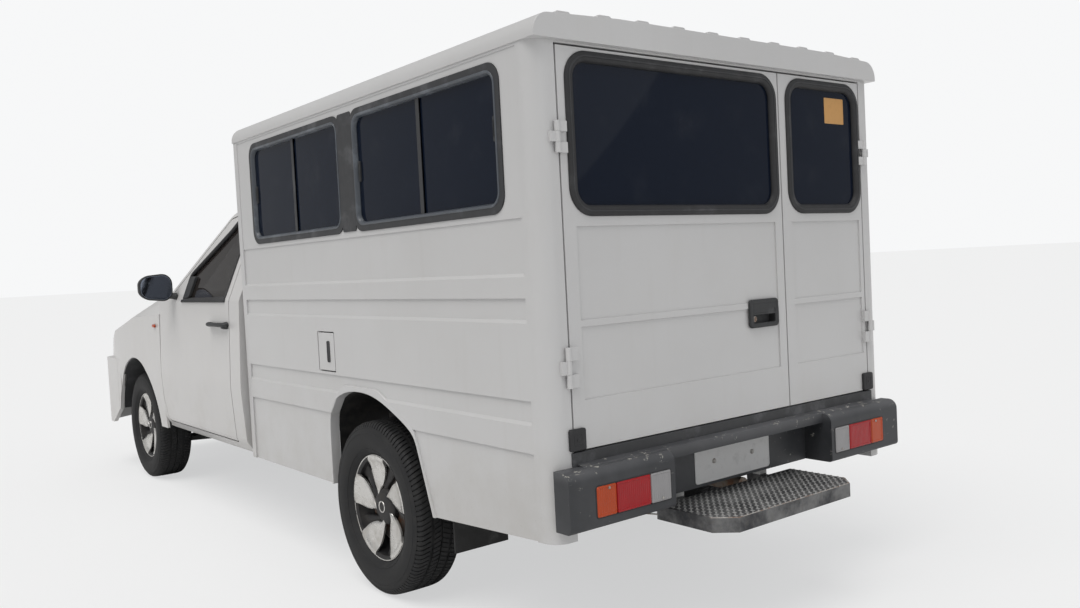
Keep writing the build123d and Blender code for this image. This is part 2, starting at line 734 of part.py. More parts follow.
def rear_bumper():
    """Two lamp boxes on a plate that carries the number plate."""
    front = box_rear_x - seat_gap
    arm_front = bumper_plate_x + bumper_plate
    box_view = outline([
        (bumper_rear_x, bumper_block_low), (front, bumper_block_low), (front, bumper_block_high),
        (bumper_rear_x, bumper_block_high),
    ], [14, 0, 0, 34])
    lamp_box = side_solid(box_view, bumper_inner_y, bumper_outer_y)
    lamp_box += block(front - 1, arm_front, bumper_inner_y, box_half - frame_post - 8, bumper_block_low,
                      rear_sill_low - seat_gap)
    lamp_box -= end_solid(rectangle(lamp_inner_y, lamp_outer_y, lamp_low, lamp_high), bumper_rear_x - 1, bumper_rear_x + 14)
    plate = block(bumper_plate_x, arm_front, -bumper_inner_y - 10, bumper_inner_y + 10,
                  bumper_block_low, rear_sill_low - seat_gap)
    for side in (-1, 1):
        plate -= bar(bumper_plate_x, side * plate_pitch / 2, rear_plate_bolt_z, plate_hole_radius,
                     3 * bumper_plate, "X")
    return lamp_box + other_side(lamp_box) + plate


lamp_pieces = []
lens_ends = [lamp_inner_y, lamp_inner_y + 88, lamp_inner_y + 230, lamp_outer_y]
for y_low, y_high in zip(lens_ends, lens_ends[1:]):
    lens = end_solid(rectangle(y_low + seat_gap, y_high - seat_gap, lamp_low + seat_gap, lamp_high - seat_gap),
                     bumper_rear_x - 4, bumper_rear_x + 14 - seat_gap)
    lamp_pieces += [lens, other_side(lens)]
pieces["tail_lamps"] = Compound(lamp_pieces)
pieces["rear_bumper"] = rear_bumper()


def rear_step():
    front = bumper_plate_x + 30
    top = plan_solid(outline([
        (step_rear_x, -step_half + 60), (step_rear_x + 60, -step_half), (front, -step_half),
        (front, step_half), (step_rear_x + 60, step_half), (step_rear_x, step_half - 60),
    ]), step_top - 46, step_top)
    top -= plan_solid(outline([
        (step_rear_x + 5, -step_half + 62), (step_rear_x + 62, -step_half + 5), (front + 1, -step_half + 5),
        (front + 1, step_half - 5), (step_rear_x + 62, step_half - 5), (step_rear_x + 5, step_half - 62),
    ]), step_top - 60, step_top - 5)
    for side in (-1, 1):
        y_low, y_high = sorted((side * 200, side * 240))
        top += block(step_rear_x + 90, box_rear_x + 160, y_low, y_high, step_top - 40, step_top - 4)
        top += block(box_rear_x + 100, box_rear_x + 140, y_low, y_high, step_top - 10,
                     cross_members[0][1] - cross_depth - seat_gap)
    return top


pieces["rear_step"] = rear_step()
mud_flap = block(rear_axle_x - 492, rear_axle_x - 484, 580, box_half - box_wall - 2, 250,
                 floor_top - floor_thickness)
pieces["mud_flaps"] = both_sides(mud_flap)


# Cab: a body section carried along X, cut to the side view and to the curve of the windscreen
cab_half_section = [  # y, z up one side
    (cab_half - 62, cab_low), (cab_half - 16, 440.0), (cab_half, 700.0), (cab_half - 18, belt_z),
    (cab_half - 206, 1575.0), (cab_half - 314, 1664.0), (0.0, roof_z),
]
section_radii = [30, 60, 400, 30, 60, 200, 2000, 200, 60, 30, 400, 60, 30]
screen_base = (front_axle_x - 285.0, belt_z - 8)
screen_head = (front_axle_x - 1215.0, 1640.0)
roof_front_x = front_axle_x - 1535.0
cowl_x = firewall_x + 90
cowl_z = belt_z + 2
screen_low = belt_z + 22
screen_high = 1605.0
screen_half_low = 705.0
screen_half_high = 570.0


def cab_section(inset):
    side = [(y - inset if y > 0 else 0.0, z - (inset if z > 1600 else 0.0)) for y, z in cab_half_section]
    points = side + [(-y, z) for y, z in reversed(side[:-1])]
    return outline(points, section_radii)


def screen_form(inset):
    """Round body whose front line is the windscreen's middle, over a block up to the cowl."""
    slope = Vector(screen_head[0] - screen_base[0], 0, screen_head[1] - screen_base[1]).normalized()
    normal = Vector(slope.Z, 0, -slope.X)
    front = Vector(screen_base[0], 0, screen_base[1])
    axis = Plane(origin=front - normal * screen_curve, x_dir=(0, 1, 0), z_dir=slope)
    under = block(cab_back_x - 10, cowl_x + 10, -cab_half - 20, cab_half + 20, 0, cowl_z - inset)
    return axis * Cylinder(screen_curve - inset, 6000) + under


def cab_body(inset, low):
    """Cab outline pulled in by inset on all sides, from the height low up."""
    back = cab_back_x + inset
    front = cowl_x - inset
    side_view = outline([
        (back, low), (front, low), (front, screen_head[1] - 50 - inset), (screen_head[0], screen_head[1] - inset),
        (roof_front_x, roof_z + 2 - inset), (back + 120, roof_z - 4 - inset), (back, roof_z - 60 - inset),
    ], [0, 0, 0, 200, 200, 100, 40])
    body = side_solid(side_view, -cab_half - 20, cab_half + 20)
    return body & end_solid(cab_section(inset), cab_back_x, cowl_x) & screen_form(inset)


door_low_z = 430.0
door_outline = [  # x, z round the left door, without rounding
    (door_rear_x, door_low_z), (door_front_x - 46, door_low_z), (door_front_x, cab_floor),
    (door_front_x, cowl_z), (front_axle_x - 755, cowl_z + 20), (front_axle_x - 1325, 1552.0),
    (door_rear_x, 1604.0),
]
door_radii = [10, 60, 40, 8, 16, 60, 24]
door_gap = 7.0
door_pin_radius = 4.0
door_axis_x = door_front_x - door_pin_radius
door_axis_y = cab_half - door_pin_radius
door_pins = [(660.0, 740.0)]
door_window = [  # x, z
    (door_rear_x + 62, belt_z + 12), (front_axle_x - 985, belt_z + 8), (front_axle_x - 975, belt_z + 142),
    (front_axle_x - 1385, 1490.0), (front_axle_x - 1465, 1548.0), (door_rear_x + 62, 1555.0),
]


def cab_walls():
    hollow = cab_body(cab_frame_wall, cab_floor)
    keep = block(cab_back_x - 10, cowl_x + 40, -cab_lining_y, cab_lining_y, 0, belt_z)
    keep += block(cab_back_x - 10, cowl_x + 40, -cab_half - 20, cab_half + 20, belt_z, roof_z + 100)
    hollow &= keep
    hollow -= block(firewall_x, cowl_x + 100, -cab_half - 20, cab_half + 20, 0, belt_z - 20)
    return cab_body(0.0, cab_low) - hollow


def door_swing(clearance):
    """Round space swept by the door's rear edge about its hinge line."""
    radius = door_axis_x - door_rear_x + clearance
    return bar(door_axis_x, door_axis_y, 1000, radius, 3000, "Z")


walls = cab_walls()
door_face = outline(door_outline, door_radii)
opening_face = offset(door_face, door_gap)
door_inner_y = 560.0
door_cut = side_solid(opening_face, door_inner_y, cab_half + 20) & door_swing(door_gap)
door_prism = side_solid(door_face, door_inner_y, cab_half + 20) & door_swing(0.0)


def screen_hole(margin):
    """Windscreen opening, seen square to the glass, between two level edges."""
    slope = Vector(screen_head[0] - screen_base[0], 0, screen_head[1] - screen_base[1])
    length = slope.length
    plane = Plane(origin=(screen_base[0], 0, screen_base[1]), x_dir=(0, 1, 0),
                  z_dir=Vector(slope.Z, 0, -slope.X))
    reach = 100.0
    flare = (screen_half_low - screen_half_high) * reach / length
    face = outline([
        (-screen_half_low - flare - margin, -reach), (screen_half_low + flare + margin, -reach),
        (screen_half_high - flare + margin, length + reach), (-screen_half_high + flare - margin, length + reach),
    ])
    prism = extrude(plane * face, 60) + extrude(plane * face, -260)
    return prism & block(cab_back_x, cowl_x, -cab_half, cab_half, screen_low - margin, screen_high + margin)


back_window = rectangle(-480, 480, belt_z + 62, 1560, 60.0)


def cab_shell():
    underside = block(cab_back_x - 10, cowl_x + 40, -690, 690, 0, cab_underside_z)
    behind_fenders = block(door_front_x + 6, cowl_x + 40, cab_half - 74, cab_half + 20, 0, roof_z)
    shell = walls - underside - door_cut - other_side(door_cut)
    under_fender = end_solid(outline([
        (hood_half, belt_z - 44), (cab_half - 150, belt_z - 44), (cab_half - 70, belt_z - 100),
        (cab_half - 70, cowl_z + 22), (hood_half, cowl_z + 22),
    ]), door_front_x + 6, cowl_x + 40)
    for cut in (behind_fenders, under_fender):
        shell -= cut
        shell -= other_side(cut)
    shell -= bar(front_axle_x, 0, tyre_radius, arch_radius + 6, 2000, "Y")
    shell -= screen_hole(0.0)
    shell -= end_solid(back_window, cab_back_x - 10, cab_back_x + 100)
    for side in (-1, 1):
        y_low, y_high = sorted((side * (hood_hinge_y - hood_hinge_width - seat_gap), side * (hood_hinge_y - seat_gap)))
        shell += block(cowl_x - 20, hood_axis_x, y_low, y_high, hood_axis_z - 25, hood_axis_z)
        shell += bar(hood_axis_x, (y_low + y_high) / 2, hood_axis_z, hood_hinge_radius, hood_hinge_width, "Y")
    return shell


hood_axis_x = hood_rear_x - 8
hood_axis_z = belt_z - 4
hood_hinge_y = 560.0
hood_hinge_width = 24.0
hood_hinge_radius = 6.0
pieces["cab_shell"] = cab_shell()
back_glass = offset(back_window, -seat_gap)
pieces["cab_back_glass"] = end_solid(back_glass, cab_back_x + 12, cab_back_x + 12 + glass)


def cab_door():
    door = (walls & door_prism) - side_solid(outline(door_window, 26.0), door_inner_y, cab_half + 20)
    for low, high in door_pins:
        door -= block(door_axis_x, door_axis_x + 20, door_axis_y, door_axis_y + 30, low, high)
        door += bar(door_axis_x, door_axis_y, (low + high) / 2, door_pin_radius, high - low, "Z")
    return door


door_left = cab_door()
pieces["cab_door_left"] = door_left
pieces["cab_door_right"] = other_side(door_left)
pane_edge = side_solid(offset(outline(door_window, 26.0), -seat_gap), door_inner_y, cab_half + 20)
pane = (cab_body(14.0, cab_low) - cab_body(14.0 + glass, cab_low - 10)) & pane_edge
pieces["door_glass_left"] = pane
pieces["door_glass_right"] = other_side(pane)
pieces["windscreen"] = (cab_body(10.0, cab_low) - cab_body(10.0 + glass, cab_low - 10)) & screen_hole(-seat_gap)

mirror_x = front_axle_x - 835.0
mirror_view = [  # y, z of the housing from behind
    (cab_half - 12, 1140.0), (cab_half + 172, 1132.0), (cab_half + 178, 1250.0), (cab_half + 136, 1284.0),
    (cab_half + 6, 1287.0),
]
pull_low = 996.0
pull_high = 1026.0
pull_rear_x = front_axle_x - 1679.0
pull_front_x = front_axle_x - 1414.0


def door_fittings():
    """Mirror and outer handle of the left door."""
    housing = end_solid(outline(mirror_view, [20, 30, 40, 30, 30]), mirror_x - 30, mirror_x + 60)
    foot = block(mirror_x + 4, mirror_x + 40, cab_half - 54, cab_half + 6, belt_z + 22, belt_z + 54)
    grip = side_solid(rectangle(pull_rear_x, pull_front_x, pull_low, pull_high, 12.0), cab_half + 12, cab_half + 26)
    for x_low, x_high in ((pull_rear_x, pull_rear_x + 30), (pull_front_x - 36, pull_front_x)):
        grip += side_solid(rectangle(x_low, x_high, pull_low, pull_high, 6.0), cab_half - 14, cab_half + 16)
    return Compound([(housing + foot) - door_left, grip - door_left])


pieces["door_fittings_left"] = door_fittings()
pieces["door_fittings_right"] = other_side(pieces["door_fittings_left"])

# Front end: one body form, split into fenders, hood and lamps
grille_half = 470.0
grille_low = bumper_top + seat_gap
grille_high = 895.0
grille_bars = 4
front_sections = [  # x from the front axle, half width, half width on top, height of shoulder, top and crown
    (-552.0, cab_half - 1, cab_half - 174, 1050.0, 1150.0, 1176.0),
    (0.0, cab_half + 2, cab_half - 174, 1026.0, 1126.0, 1156.0),
    (480.0, cab_half - 6, cab_half - 194, 930.0, 1040.0, 1080.0),
    (760.0, cab_half - 60, cab_half - 250, 868.0, 962.0, 1004.0),
    (930.0, cab_half - 150, cab_half - 310, 820.0, 900.0, 940.0),
]
front_end_x = front_axle_x + 898
lamp_rear_x = front_axle_x + 560
lamp_depth = 50.0
nose_corner = (front_axle_x + 706, 900.0, 635.0)  # x where the corner starts, y outside and at the front


def front_form(inset):
    faces = []
    for from_axle, half, top_half, shoulder, top, crown in front_sections:
        plane = Plane(origin=(front_axle_x + from_axle, 0, 0), x_dir=(0, 1, 0), z_dir=(1, 0, 0))
        side = [
            (half - 22 - inset, bumper_low), (half - inset, 700.0), (half - 10 - inset, shoulder - inset / 2),
            (top_half - inset, top - inset),
        ]
        points = side + [(0.0, crown - inset)] + [(-y, z) for y, z in reversed(side)]
        faces.append(plane * outline(points))
    plan = outline([
        (front_axle_x - 700, -nose_corner[1]), (nose_corner[0], -nose_corner[1]), (front_end_x, -nose_corner[2]),
        (front_end_x, nose_corner[2]), (nose_corner[0], nose_corner[1]), (front_axle_x - 700, nose_corner[1]),
    ], [0, 60, 120, 120, 60, 0])
    if inset:
        plan = offset(plan, -inset)
    return loft(faces, ruled=True) & plan_solid(plan, 0, 1300)


front_outer = front_form(0.0)
front_inner = front_form(skin)
fender_rear_x = door_front_x + door_gap
front_skin = (front_outer - front_inner) & block(
    fender_rear_x, front_end_x + 1, -cab_half - 20, cab_half + 20, bumper_low - 10, 1300)
wheel_hole = bar(front_axle_x, 0, tyre_radius, arch_radius, 2000, "Y")


def hood_outline(grow, front_x):
    return outline([
        (hood_rear_x - grow, -hood_half - grow), (front_x, 60 - hood_half - grow),
        (front_x, hood_half - 60 + grow), (hood_rear_x - grow, hood_half + grow),
    ])


hood_front_low = grille_high + shut_gap
hood_zone = plan_solid(hood_outline(0.0, front_end_x + 6), hood_front_low, 1300)
hood_gap_zone = plan_solid(hood_outline(shut_gap, front_end_x + 66), hood_front_low - shut_gap, 1300)


def lamp_side(gap):
    return side_solid(outline([
        (lamp_rear_x + gap, 1040), (front_end_x + 60, 1040), (front_end_x + 60, bumper_top + gap),
        (front_end_x - 90, bumper_top + gap), (lamp_rear_x + gap, 960 + gap),
    ]), -cab_half - 20, cab_half + 20)


def front_fenders():
    fenders = front_skin - hood_gap_zone - lamp_side(0.0) - wheel_hole
    fenders -= block(front_axle_x + 380, bumper_front_x + 10, -cab_half - 20, cab_half + 20, 0, bumper_top)
    fenders -= block(fender_rear_x - 10, front_axle_x, -cab_half - 20, cab_half + 20, 0, cab_low)
    fenders -= block(fender_rear_x - 10, hood_rear_x, -hood_half - shut_gap, hood_half + shut_gap, 0, 1300)
    return fenders - plan_solid(hood_outline(shut_gap, front_end_x + 66), 0, 1300)


def hood():
    panel = front_skin & hood_zone
    for side in (-1, 1):
        y_low, y_high = sorted((side * hood_hinge_y, side * (hood_hinge_y + hood_hinge_width)))
        arm = block(hood_axis_x, hood_axis_x + 60, y_low, y_high, hood_axis_z - 6, hood_axis_z + 8)
        panel += arm & front_outer
        panel += bar(hood_axis_x, (y_low + y_high) / 2, hood_axis_z, hood_hinge_radius, hood_hinge_width, "Y")
    return panel


pieces["front_fenders"] = front_fenders()
pieces["hood"] = hood()
lamp_shell = (front_outer - front_form(lamp_depth)) & lamp_side(seat_gap)
pieces["headlamps"] = lamp_shell - hood_gap_zone - block(
    0, front_end_x + 10, -grille_half - seat_gap, grille_half + seat_gap, 0, 1300)

grille_x = front_axle_x + 872
bumper_corner_y = cab_half - 6
intake = (-400.0, 400.0, 340.0, 430.0)  # y low, y high, z low, z high
fog_pocket = (560.0, 700.0, 420.0, 520.0)


panel_x = front_axle_x + 740
panel_depth = 40.0
panel_half = 590.0


def front_bumper():
    """Wrapped bumper with a closed top, a low intake and two pockets."""
    rear_x = front_axle_x + 452
    cover = outline([
        (rear_x, bumper_corner_y), (front_axle_x + 760, bumper_corner_y), (bumper_front_x - 60, 640),
        (bumper_front_x, 300), (bumper_front_x, -300), (bumper_front_x - 60, -640),
        (front_axle_x + 760, -bumper_corner_y), (rear_x, -bumper_corner_y),
    ], [0, 160, 100, 60, 60, 100, 160, 0])
    inside = offset(cover, -bumper_wall) + rectangle(
        rear_x - 10, rear_x + 2 * bumper_wall, bumper_wall - bumper_corner_y, bumper_corner_y - bumper_wall)
    behind = rectangle(rear_x - 10, panel_x + panel_depth + shut_gap, -panel_half - 10, panel_half + 10)
    bumper = plan_solid(cover - inside, bumper_low, bumper_top)
    bumper += plan_solid(cover - behind, bumper_top - bumper_wall, bumper_top)
    bumper -= wheel_hole
    bumper -= side_solid(outline([
        (rear_x - 10, bumper_low - 10), (rear_x + 190, bumper_low - 10), (rear_x - 10, bumper_low + 110),
    ]), -cab_half, cab_half)
    cut_x = bumper_front_x - 200
    bumper -= end_solid(rectangle(*intake), cut_x, bumper_front_x + 10)
    y_low, y_high, z_low, z_high = fog_pocket
    for side in (-1, 1):
        ends = sorted((side * y_low, side * y_high))
        bumper -= end_solid(rectangle(*ends, z_low, z_high), cut_x, bumper_front_x + 10)
        bumper -= bar(bumper_front_x, side * plate_pitch / 2, plate_bolt_z, plate_hole_radius, 80, "X")
    return bumper


def grille():
    frame = rectangle(-grille_half, grille_half, grille_low, grille_high)
    frame -= rectangle(24 - grille_half, grille_half - 24, grille_low + 20, grille_high - 20)
    solid = end_solid(frame, grille_x, grille_x + 43)
    step = (grille_high - grille_low - 40) / (grille_bars + 1)
    for index in range(grille_bars):
        z = grille_low + 20 + (index + 1) * step
        solid += block(grille_x + 4, grille_x + 30, 20 - grille_half, grille_half - 20, z - 6, z + 6)
    return solid


def front_panel():
    """Open frame across the rails that carries the grille and the lamps."""
    x_high = panel_x + panel_depth
    frame = rectangle(-panel_half, panel_half, front_rail_top - 20, grille_high - 12)
    frame -= rectangle(-330, 330, front_rail_top + 40, grille_high - 70)
    panel = end_solid(frame, panel_x, x_high)
    arms = [(400.0, 462.0, grille_x), (540.0, 580.0, front_end_x - lamp_depth)]  # y low, y high, x of what it holds
    for side in (-1, 1):
        for y_low, y_high, reach in arms:
            ends = sorted((side * y_low, side * y_high))
            panel += block(x_high, reach - seat_gap, *ends, grille_low + 30, grille_high - 35)
    return panel - pieces["chassis_rails"]


pieces["front_bumper"] = front_bumper()
pieces["grille"] = grille()
pieces["front_panel"] = front_panel()

liner_wall = 6.0
liner_inner_y = 556.0
liner_outer_y = cab_half - 10
liner_low = 645.0


def arch_liners():
    """Half round shells over the front wheels with an inner wing."""
    middle = (liner_inner_y + liner_outer_y) / 2
    width = liner_outer_y - liner_inner_y
    radius = arch_radius - seat_gap
    shell = bar(front_axle_x, middle, tyre_radius, radius, width, "Y")
    shell -= bar(front_axle_x, middle + liner_wall, tyre_radius, radius - liner_wall, width, "Y")
    shell -= block(front_axle_x - 500, front_axle_x + 500, 0, cab_half, -arch_radius, liner_low)
    return shell


pieces["arch_liners"] = both_sides(arch_liners())

# Cab inside: dashboard, steering wheel and bench seat
dash_depth = 260.0
dash_half = cab_lining_y - 12
driver_y = 370.0
ring_radius = 185.0
ring_thickness = 24.0
cushion_top = 840.0
seat_half = 640.0
seat_front_x = cab_back_x + 760
back_rest = [  # x from the back of the cab, z
    (180.0, 760.0), (310.0, 760.0), (200.0, 1380.0), (90.0, 1380.0),
]


def dashboard():
    face = outline([
        (firewall_x - seat_gap, 820), (firewall_x - seat_gap, belt_z - 60), (firewall_x - dash_depth + 60, belt_z - 60),
        (firewall_x - dash_depth, belt_z - 104), (firewall_x - dash_depth + 90, 820),
    ])
    return side_solid(face, -dash_half, dash_half)


def steering_wheel():
    """Ring with three flat spokes on a column that enters the dashboard."""
    half = ring_thickness / 2
    rim = [RegularPolygon(ring_radius - inset, 36) for inset in (0.0, ring_thickness)]
    ring = extrude(rim[0] - rim[1], half, both=True)
    hub = Cylinder(48, ring_thickness + 16)
    spokes = Box(2 * ring_radius - ring_thickness, 40, half)
    spokes += Pos(-ring_radius / 2, 0, 0) * Box(ring_radius - half, 40, half)
    spokes += Pos(0, -ring_radius / 2, 0) * Box(40, ring_radius - half, half)
    column = Pos(0, 0, 110) * Cylinder(26, 220)
    place = Pos(firewall_x - dash_depth - 110, driver_y, 1010) * Rot(0, 118, 0)
    return place * (ring + hub + spokes + column) - dashboard()


pieces["dashboard"] = dashboard()
pieces["steering_wheel"] = steering_wheel()
pieces["cab_seat"] = block(cab_back_x + 260, seat_front_x, -seat_half, seat_half, cab_floor, cushion_top) + side_solid(
    outline([(cab_back_x + x, z) for x, z in back_rest]), -seat_half, seat_half)

for name, shape in pieces.items():
    export_step(shape, f"parts/{name}.step")
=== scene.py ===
import bmesh
import bpy
import numpy as np
from math import cos, pi, sin
from mathutils import Matrix, Vector


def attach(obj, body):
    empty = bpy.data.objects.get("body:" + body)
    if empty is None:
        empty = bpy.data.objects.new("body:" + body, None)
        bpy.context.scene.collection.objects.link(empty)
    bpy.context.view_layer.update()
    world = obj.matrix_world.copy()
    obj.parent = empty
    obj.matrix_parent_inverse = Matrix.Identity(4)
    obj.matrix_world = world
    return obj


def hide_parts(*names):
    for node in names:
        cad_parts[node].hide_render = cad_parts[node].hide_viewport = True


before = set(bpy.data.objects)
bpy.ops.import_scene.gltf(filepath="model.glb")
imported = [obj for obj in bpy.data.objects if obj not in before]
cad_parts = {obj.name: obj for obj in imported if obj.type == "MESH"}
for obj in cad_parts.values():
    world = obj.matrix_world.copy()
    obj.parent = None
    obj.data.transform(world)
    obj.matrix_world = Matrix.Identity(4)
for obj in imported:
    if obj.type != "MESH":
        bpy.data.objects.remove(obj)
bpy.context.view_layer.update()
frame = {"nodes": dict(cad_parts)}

wheelbase = 3.085
rearAxleX = -1.375
frontAxleX = rearAxleX + wheelbase
tyreRadius = 0.333
rearWheelY = 0.755
frontWheelY = 0.74
boxRearX = rearAxleX - 1.102
boxHalf = 0.846
dashRearX = frontAxleX - 0.345 - 0.26
driverY = 0.37

print("stage 1: camera, floor and light")

# The camera stands where the photograph was taken, worked out in the rear axle's frame
cameraSettings = {
    "place": (rearAxleX - 3.2438, 2.5319, 1.2345), "yaw": -0.6633, "pitch": -0.0425, "roll": -0.0514,
    "focalPixels": 948.69, "pictureWidth": 1080, "sensor": 36.0,
}


def makeCamera(s):
    yaw, pitch, roll = s["yaw"], s["pitch"], s["roll"]
    forward = Vector((cos(yaw) * cos(pitch), sin(yaw) * cos(pitch), sin(pitch)))
    right = Vector((sin(yaw), -cos(yaw), 0.0))
    up = right.cross(forward)
    side = cos(roll) * right + sin(roll) * up
    top = cos(roll) * up - sin(roll) * right
    data = bpy.data.cameras.new("camera")
    data.sensor_width = s["sensor"]
    data.lens = s["focalPixels"] * s["sensor"] / s["pictureWidth"]
    data.clip_end = 200.0
    camera = bpy.data.objects.new("camera", data)
    turn = Matrix((side, top, -forward)).transposed()
    camera.matrix_world = Matrix.Translation(s["place"]) @ turn.to_4x4()
    bpy.context.scene.collection.objects.link(camera)
    bpy.context.scene.camera = camera


makeCamera(cameraSettings)
bpy.context.scene.view_settings.view_transform = "Standard"


# Shader maths: Val wraps a socket, and its operators add Math nodes
class Val:
    def __init__(self, tree, socket):
        self.tree = tree
        self.socket = socket

    def math(self, operation, *others, clamp=False):
        node = self.tree.nodes.new("ShaderNodeMath")
        node.operation = operation
        node.use_clamp = clamp
        for index, value in enumerate((self,) + others):
            if isinstance(value, Val):
                self.tree.links.new(value.socket, node.inputs[index])
            else:
                node.inputs[index].default_value = value
        return Val(self.tree, node.outputs[0])

    def __add__(self, other): return self.math("ADD", other)
    def __mul__(self, other): return self.math("MULTIPLY", other)
    def __sub__(self, other): return self.math("SUBTRACT", other)
    def __rsub__(self, other): return self.math("MULTIPLY", -1.0).math("ADD", other)
    def clip(self): return self.math("ADD", 0.0, clamp=True)

    def step(self, low, high):
        # smooth rise from 0 at low to 1 at high
        node = self.tree.nodes.new("ShaderNodeMapRange")
        node.interpolation_type = "SMOOTHSTEP"
        self.tree.links.new(self.socket, node.inputs["Value"])
        node.inputs["From Min"].default_value = low
        node.inputs["From Max"].default_value = high
        return Val(self.tree, node.outputs["Result"])


class Finish:
    # One material: its tree, the Principled shader and the object coordinates
    def __init__(self, name, **constants):
        self.material = bpy.data.materials.new(name)
        self.material.use_nodes = True
        self.tree = self.material.node_tree
        self.shader = self.tree.nodes["Principled BSDF"]
        for socket, value in constants.items():
            self.shader.inputs[socket.replace("_", " ")].default_value = value
        coordinates = self.tree.nodes.new("ShaderNodeTexCoord")
        self.place = Val(self.tree, coordinates.outputs["Object"])
        split = self.add("ShaderNodeSeparateXYZ", {}, {0: self.place})
        self.x, self.y, self.z = (Val(self.tree, split.outputs[i]) for i in range(3))

    def add(self, kind, settings, inputs):
        node = self.tree.nodes.new(kind)
        for key, value in settings.items():
            setattr(node, key, value)
        for key, value in inputs.items():
            if isinstance(value, Val):
                self.tree.links.new(value.socket, node.inputs[key])
            else:
                node.inputs[key].default_value = value
        return node

    def noise(self, scale, detail, rough=0.55, stretch=None):
        place = self.place
        if stretch:
            mapping = self.add("ShaderNodeMapping", {}, {"Vector": place, "Scale": stretch})
            place = Val(self.tree, mapping.outputs[0])
        node = self.add("ShaderNodeTexNoise", {},
                        {"Vector": place, "Scale": scale, "Detail": detail, "Roughness": rough})
        return Val(self.tree, node.outputs["Fac"])

    def blendColour(self, factor, a, b):
        node = self.add("ShaderNodeMix", {"data_type": "RGBA"}, {
            0: factor, 6: a if isinstance(a, Val) else (*a, 1.0), 7: b if isinstance(b, Val) else (*b, 1.0)})
        return Val(self.tree, node.outputs[2])

    def feed(self, socket, value):
        self.tree.links.new(value.socket, self.shader.inputs[socket])

    def bump(self, height, strength, distance):
        node = self.add("ShaderNodeBump", {}, {"Height": height, "Strength": strength, "Distance": distance})
        self.tree.links.new(node.outputs["Normal"], self.shader.inputs["Normal"])


stageSettings = {
    "floorSize": 400.0, "floorColour": (0.8, 0.8, 0.8, 1.0), "floorGlow": 0.62, "backColour": (0.93, 0.935, 0.94, 1.0),
    "skyStrength": 0.47,
}


def makeStage(s):
    data = bpy.data.meshes.new("floor")
    half = s["floorSize"] / 2
    data.from_pydata([(-half, -half, 0), (half, -half, 0), (half, half, 0), (-half, half, 0)], [], [(0, 1, 2, 3)])
    floor = bpy.data.objects.new("floor", data)
    bpy.context.scene.collection.objects.link(floor)
    finish = Finish("floorPale", Base_Color=s["floorColour"], Roughness=0.9)
    light = finish.add("ShaderNodeLightPath", {}, {})
    seen = (Val(finish.tree, light.outputs["Is Camera Ray"]) + Val(finish.tree, light.outputs["Is Transmission Ray"]))
    seen = seen.clip() * s["floorGlow"]
    glow = finish.add("ShaderNodeEmission", {}, {"Color": s["backColour"], "Strength": 1.0})
    mix = finish.add("ShaderNodeMixShader", {}, {0: seen})
    finish.tree.links.new(finish.shader.outputs[0], mix.inputs[1])
    finish.tree.links.new(glow.outputs[0], mix.inputs[2])
    finish.tree.links.new(mix.outputs[0], finish.tree.nodes["Material Output"].inputs["Surface"])
    data.materials.append(finish.material)
    world = bpy.data.worlds.new("studio")
    bpy.context.scene.world = world
    world.use_nodes = True
    tree = world.node_tree
    background = tree.nodes["Background"]
    path = tree.nodes.new("ShaderNodeLightPath")
    seen = (Val(tree, path.outputs["Is Camera Ray"]) + Val(tree, path.outputs["Is Transmission Ray"])).clip()
    strength = seen * (1.0 - s["skyStrength"]) + s["skyStrength"]
    background.inputs["Color"].default_value = s["backColour"]
    tree.links.new(strength.socket, background.inputs["Strength"])


makeStage(stageSettings)

lamps = [  # a soft key from above and the left of the truck, and a weak one from behind
    {"name": "keySoft", "from": (-0.12, 0.5, 1.0), "strength": 1.75, "angle": 0.8, "tint": (1.0, 0.985, 0.96)},
    {"name": "backSoft", "from": (-1.0, -0.25, 0.55), "strength": 0.35, "angle": 1.2, "tint": (0.95, 0.97, 1.0)},
]


def makeLamps(table):
    for lamp in table:
        data = bpy.data.lights.new(lamp["name"], "SUN")
        data.energy = lamp["strength"]
        data.angle = lamp["angle"]
        data.color = lamp["tint"]
        light = bpy.data.objects.new(lamp["name"], data)
        light.matrix_world = Vector(lamp["from"]).to_track_quat("Z", "Y").to_matrix().to_4x4()
        bpy.context.scene.collection.objects.link(light)


makeLamps(lamps)

print("stage 2: finishes")


def bodyWhite(name, colour, grime, lowEdge):
    # Gloss paint with road film that thickens towards the skirt and thin streaks that run down
    paint = Finish(name, Roughness=0.32, Coat_Weight=0.25, Coat_Roughness=0.12)
    low = 1.0 - paint.z.step(lowEdge, lowEdge + 0.5)
    film = paint.noise(3.2, 6.0, 0.62).step(0.38, 0.72)
    streaks = paint.noise(26.0, 3.0, 0.5, stretch=(1.0, 1.0, 0.07)).step(0.56, 0.8)
    specks = paint.noise(140.0, 2.0, 0.6).step(0.66, 0.75)
    dirt = (low * 0.22 + 0.05) * film + streaks * 0.05 + specks * low * 0.25
    dirt = (dirt * grime).clip()
    soft = paint.blendColour(paint.noise(1.3, 3.0).step(0.3, 0.7), colour, tuple(c * 0.965 for c in colour))
    paint.feed("Base Color", paint.blendColour(dirt, soft, (0.34, 0.31, 0.26)))
    paint.feed("Roughness", dirt * 0.4 + 0.3)
    paint.bump(paint.noise(2.2, 3.0), 0.05, 0.02)
    return paint.material


def blackTrim(name, colour, rough, wear):
    # Grained dark plastic or rubber with pale rubbed places
    trim = Finish(name, Roughness=rough)
    worn = (trim.noise(9.0, 6.0, 0.65).step(0.5, 0.74) * wear).clip()
    trim.feed("Base Color", trim.blendColour(worn, colour, tuple(min(1.0, c * 3.0 + 0.05) for c in colour)))
    trim.feed("Roughness", trim.noise(30.0, 4.0) * 0.22 + (rough - 0.1))
    trim.bump(trim.noise(420.0, 2.0), 0.12, 0.002)
    return trim.material


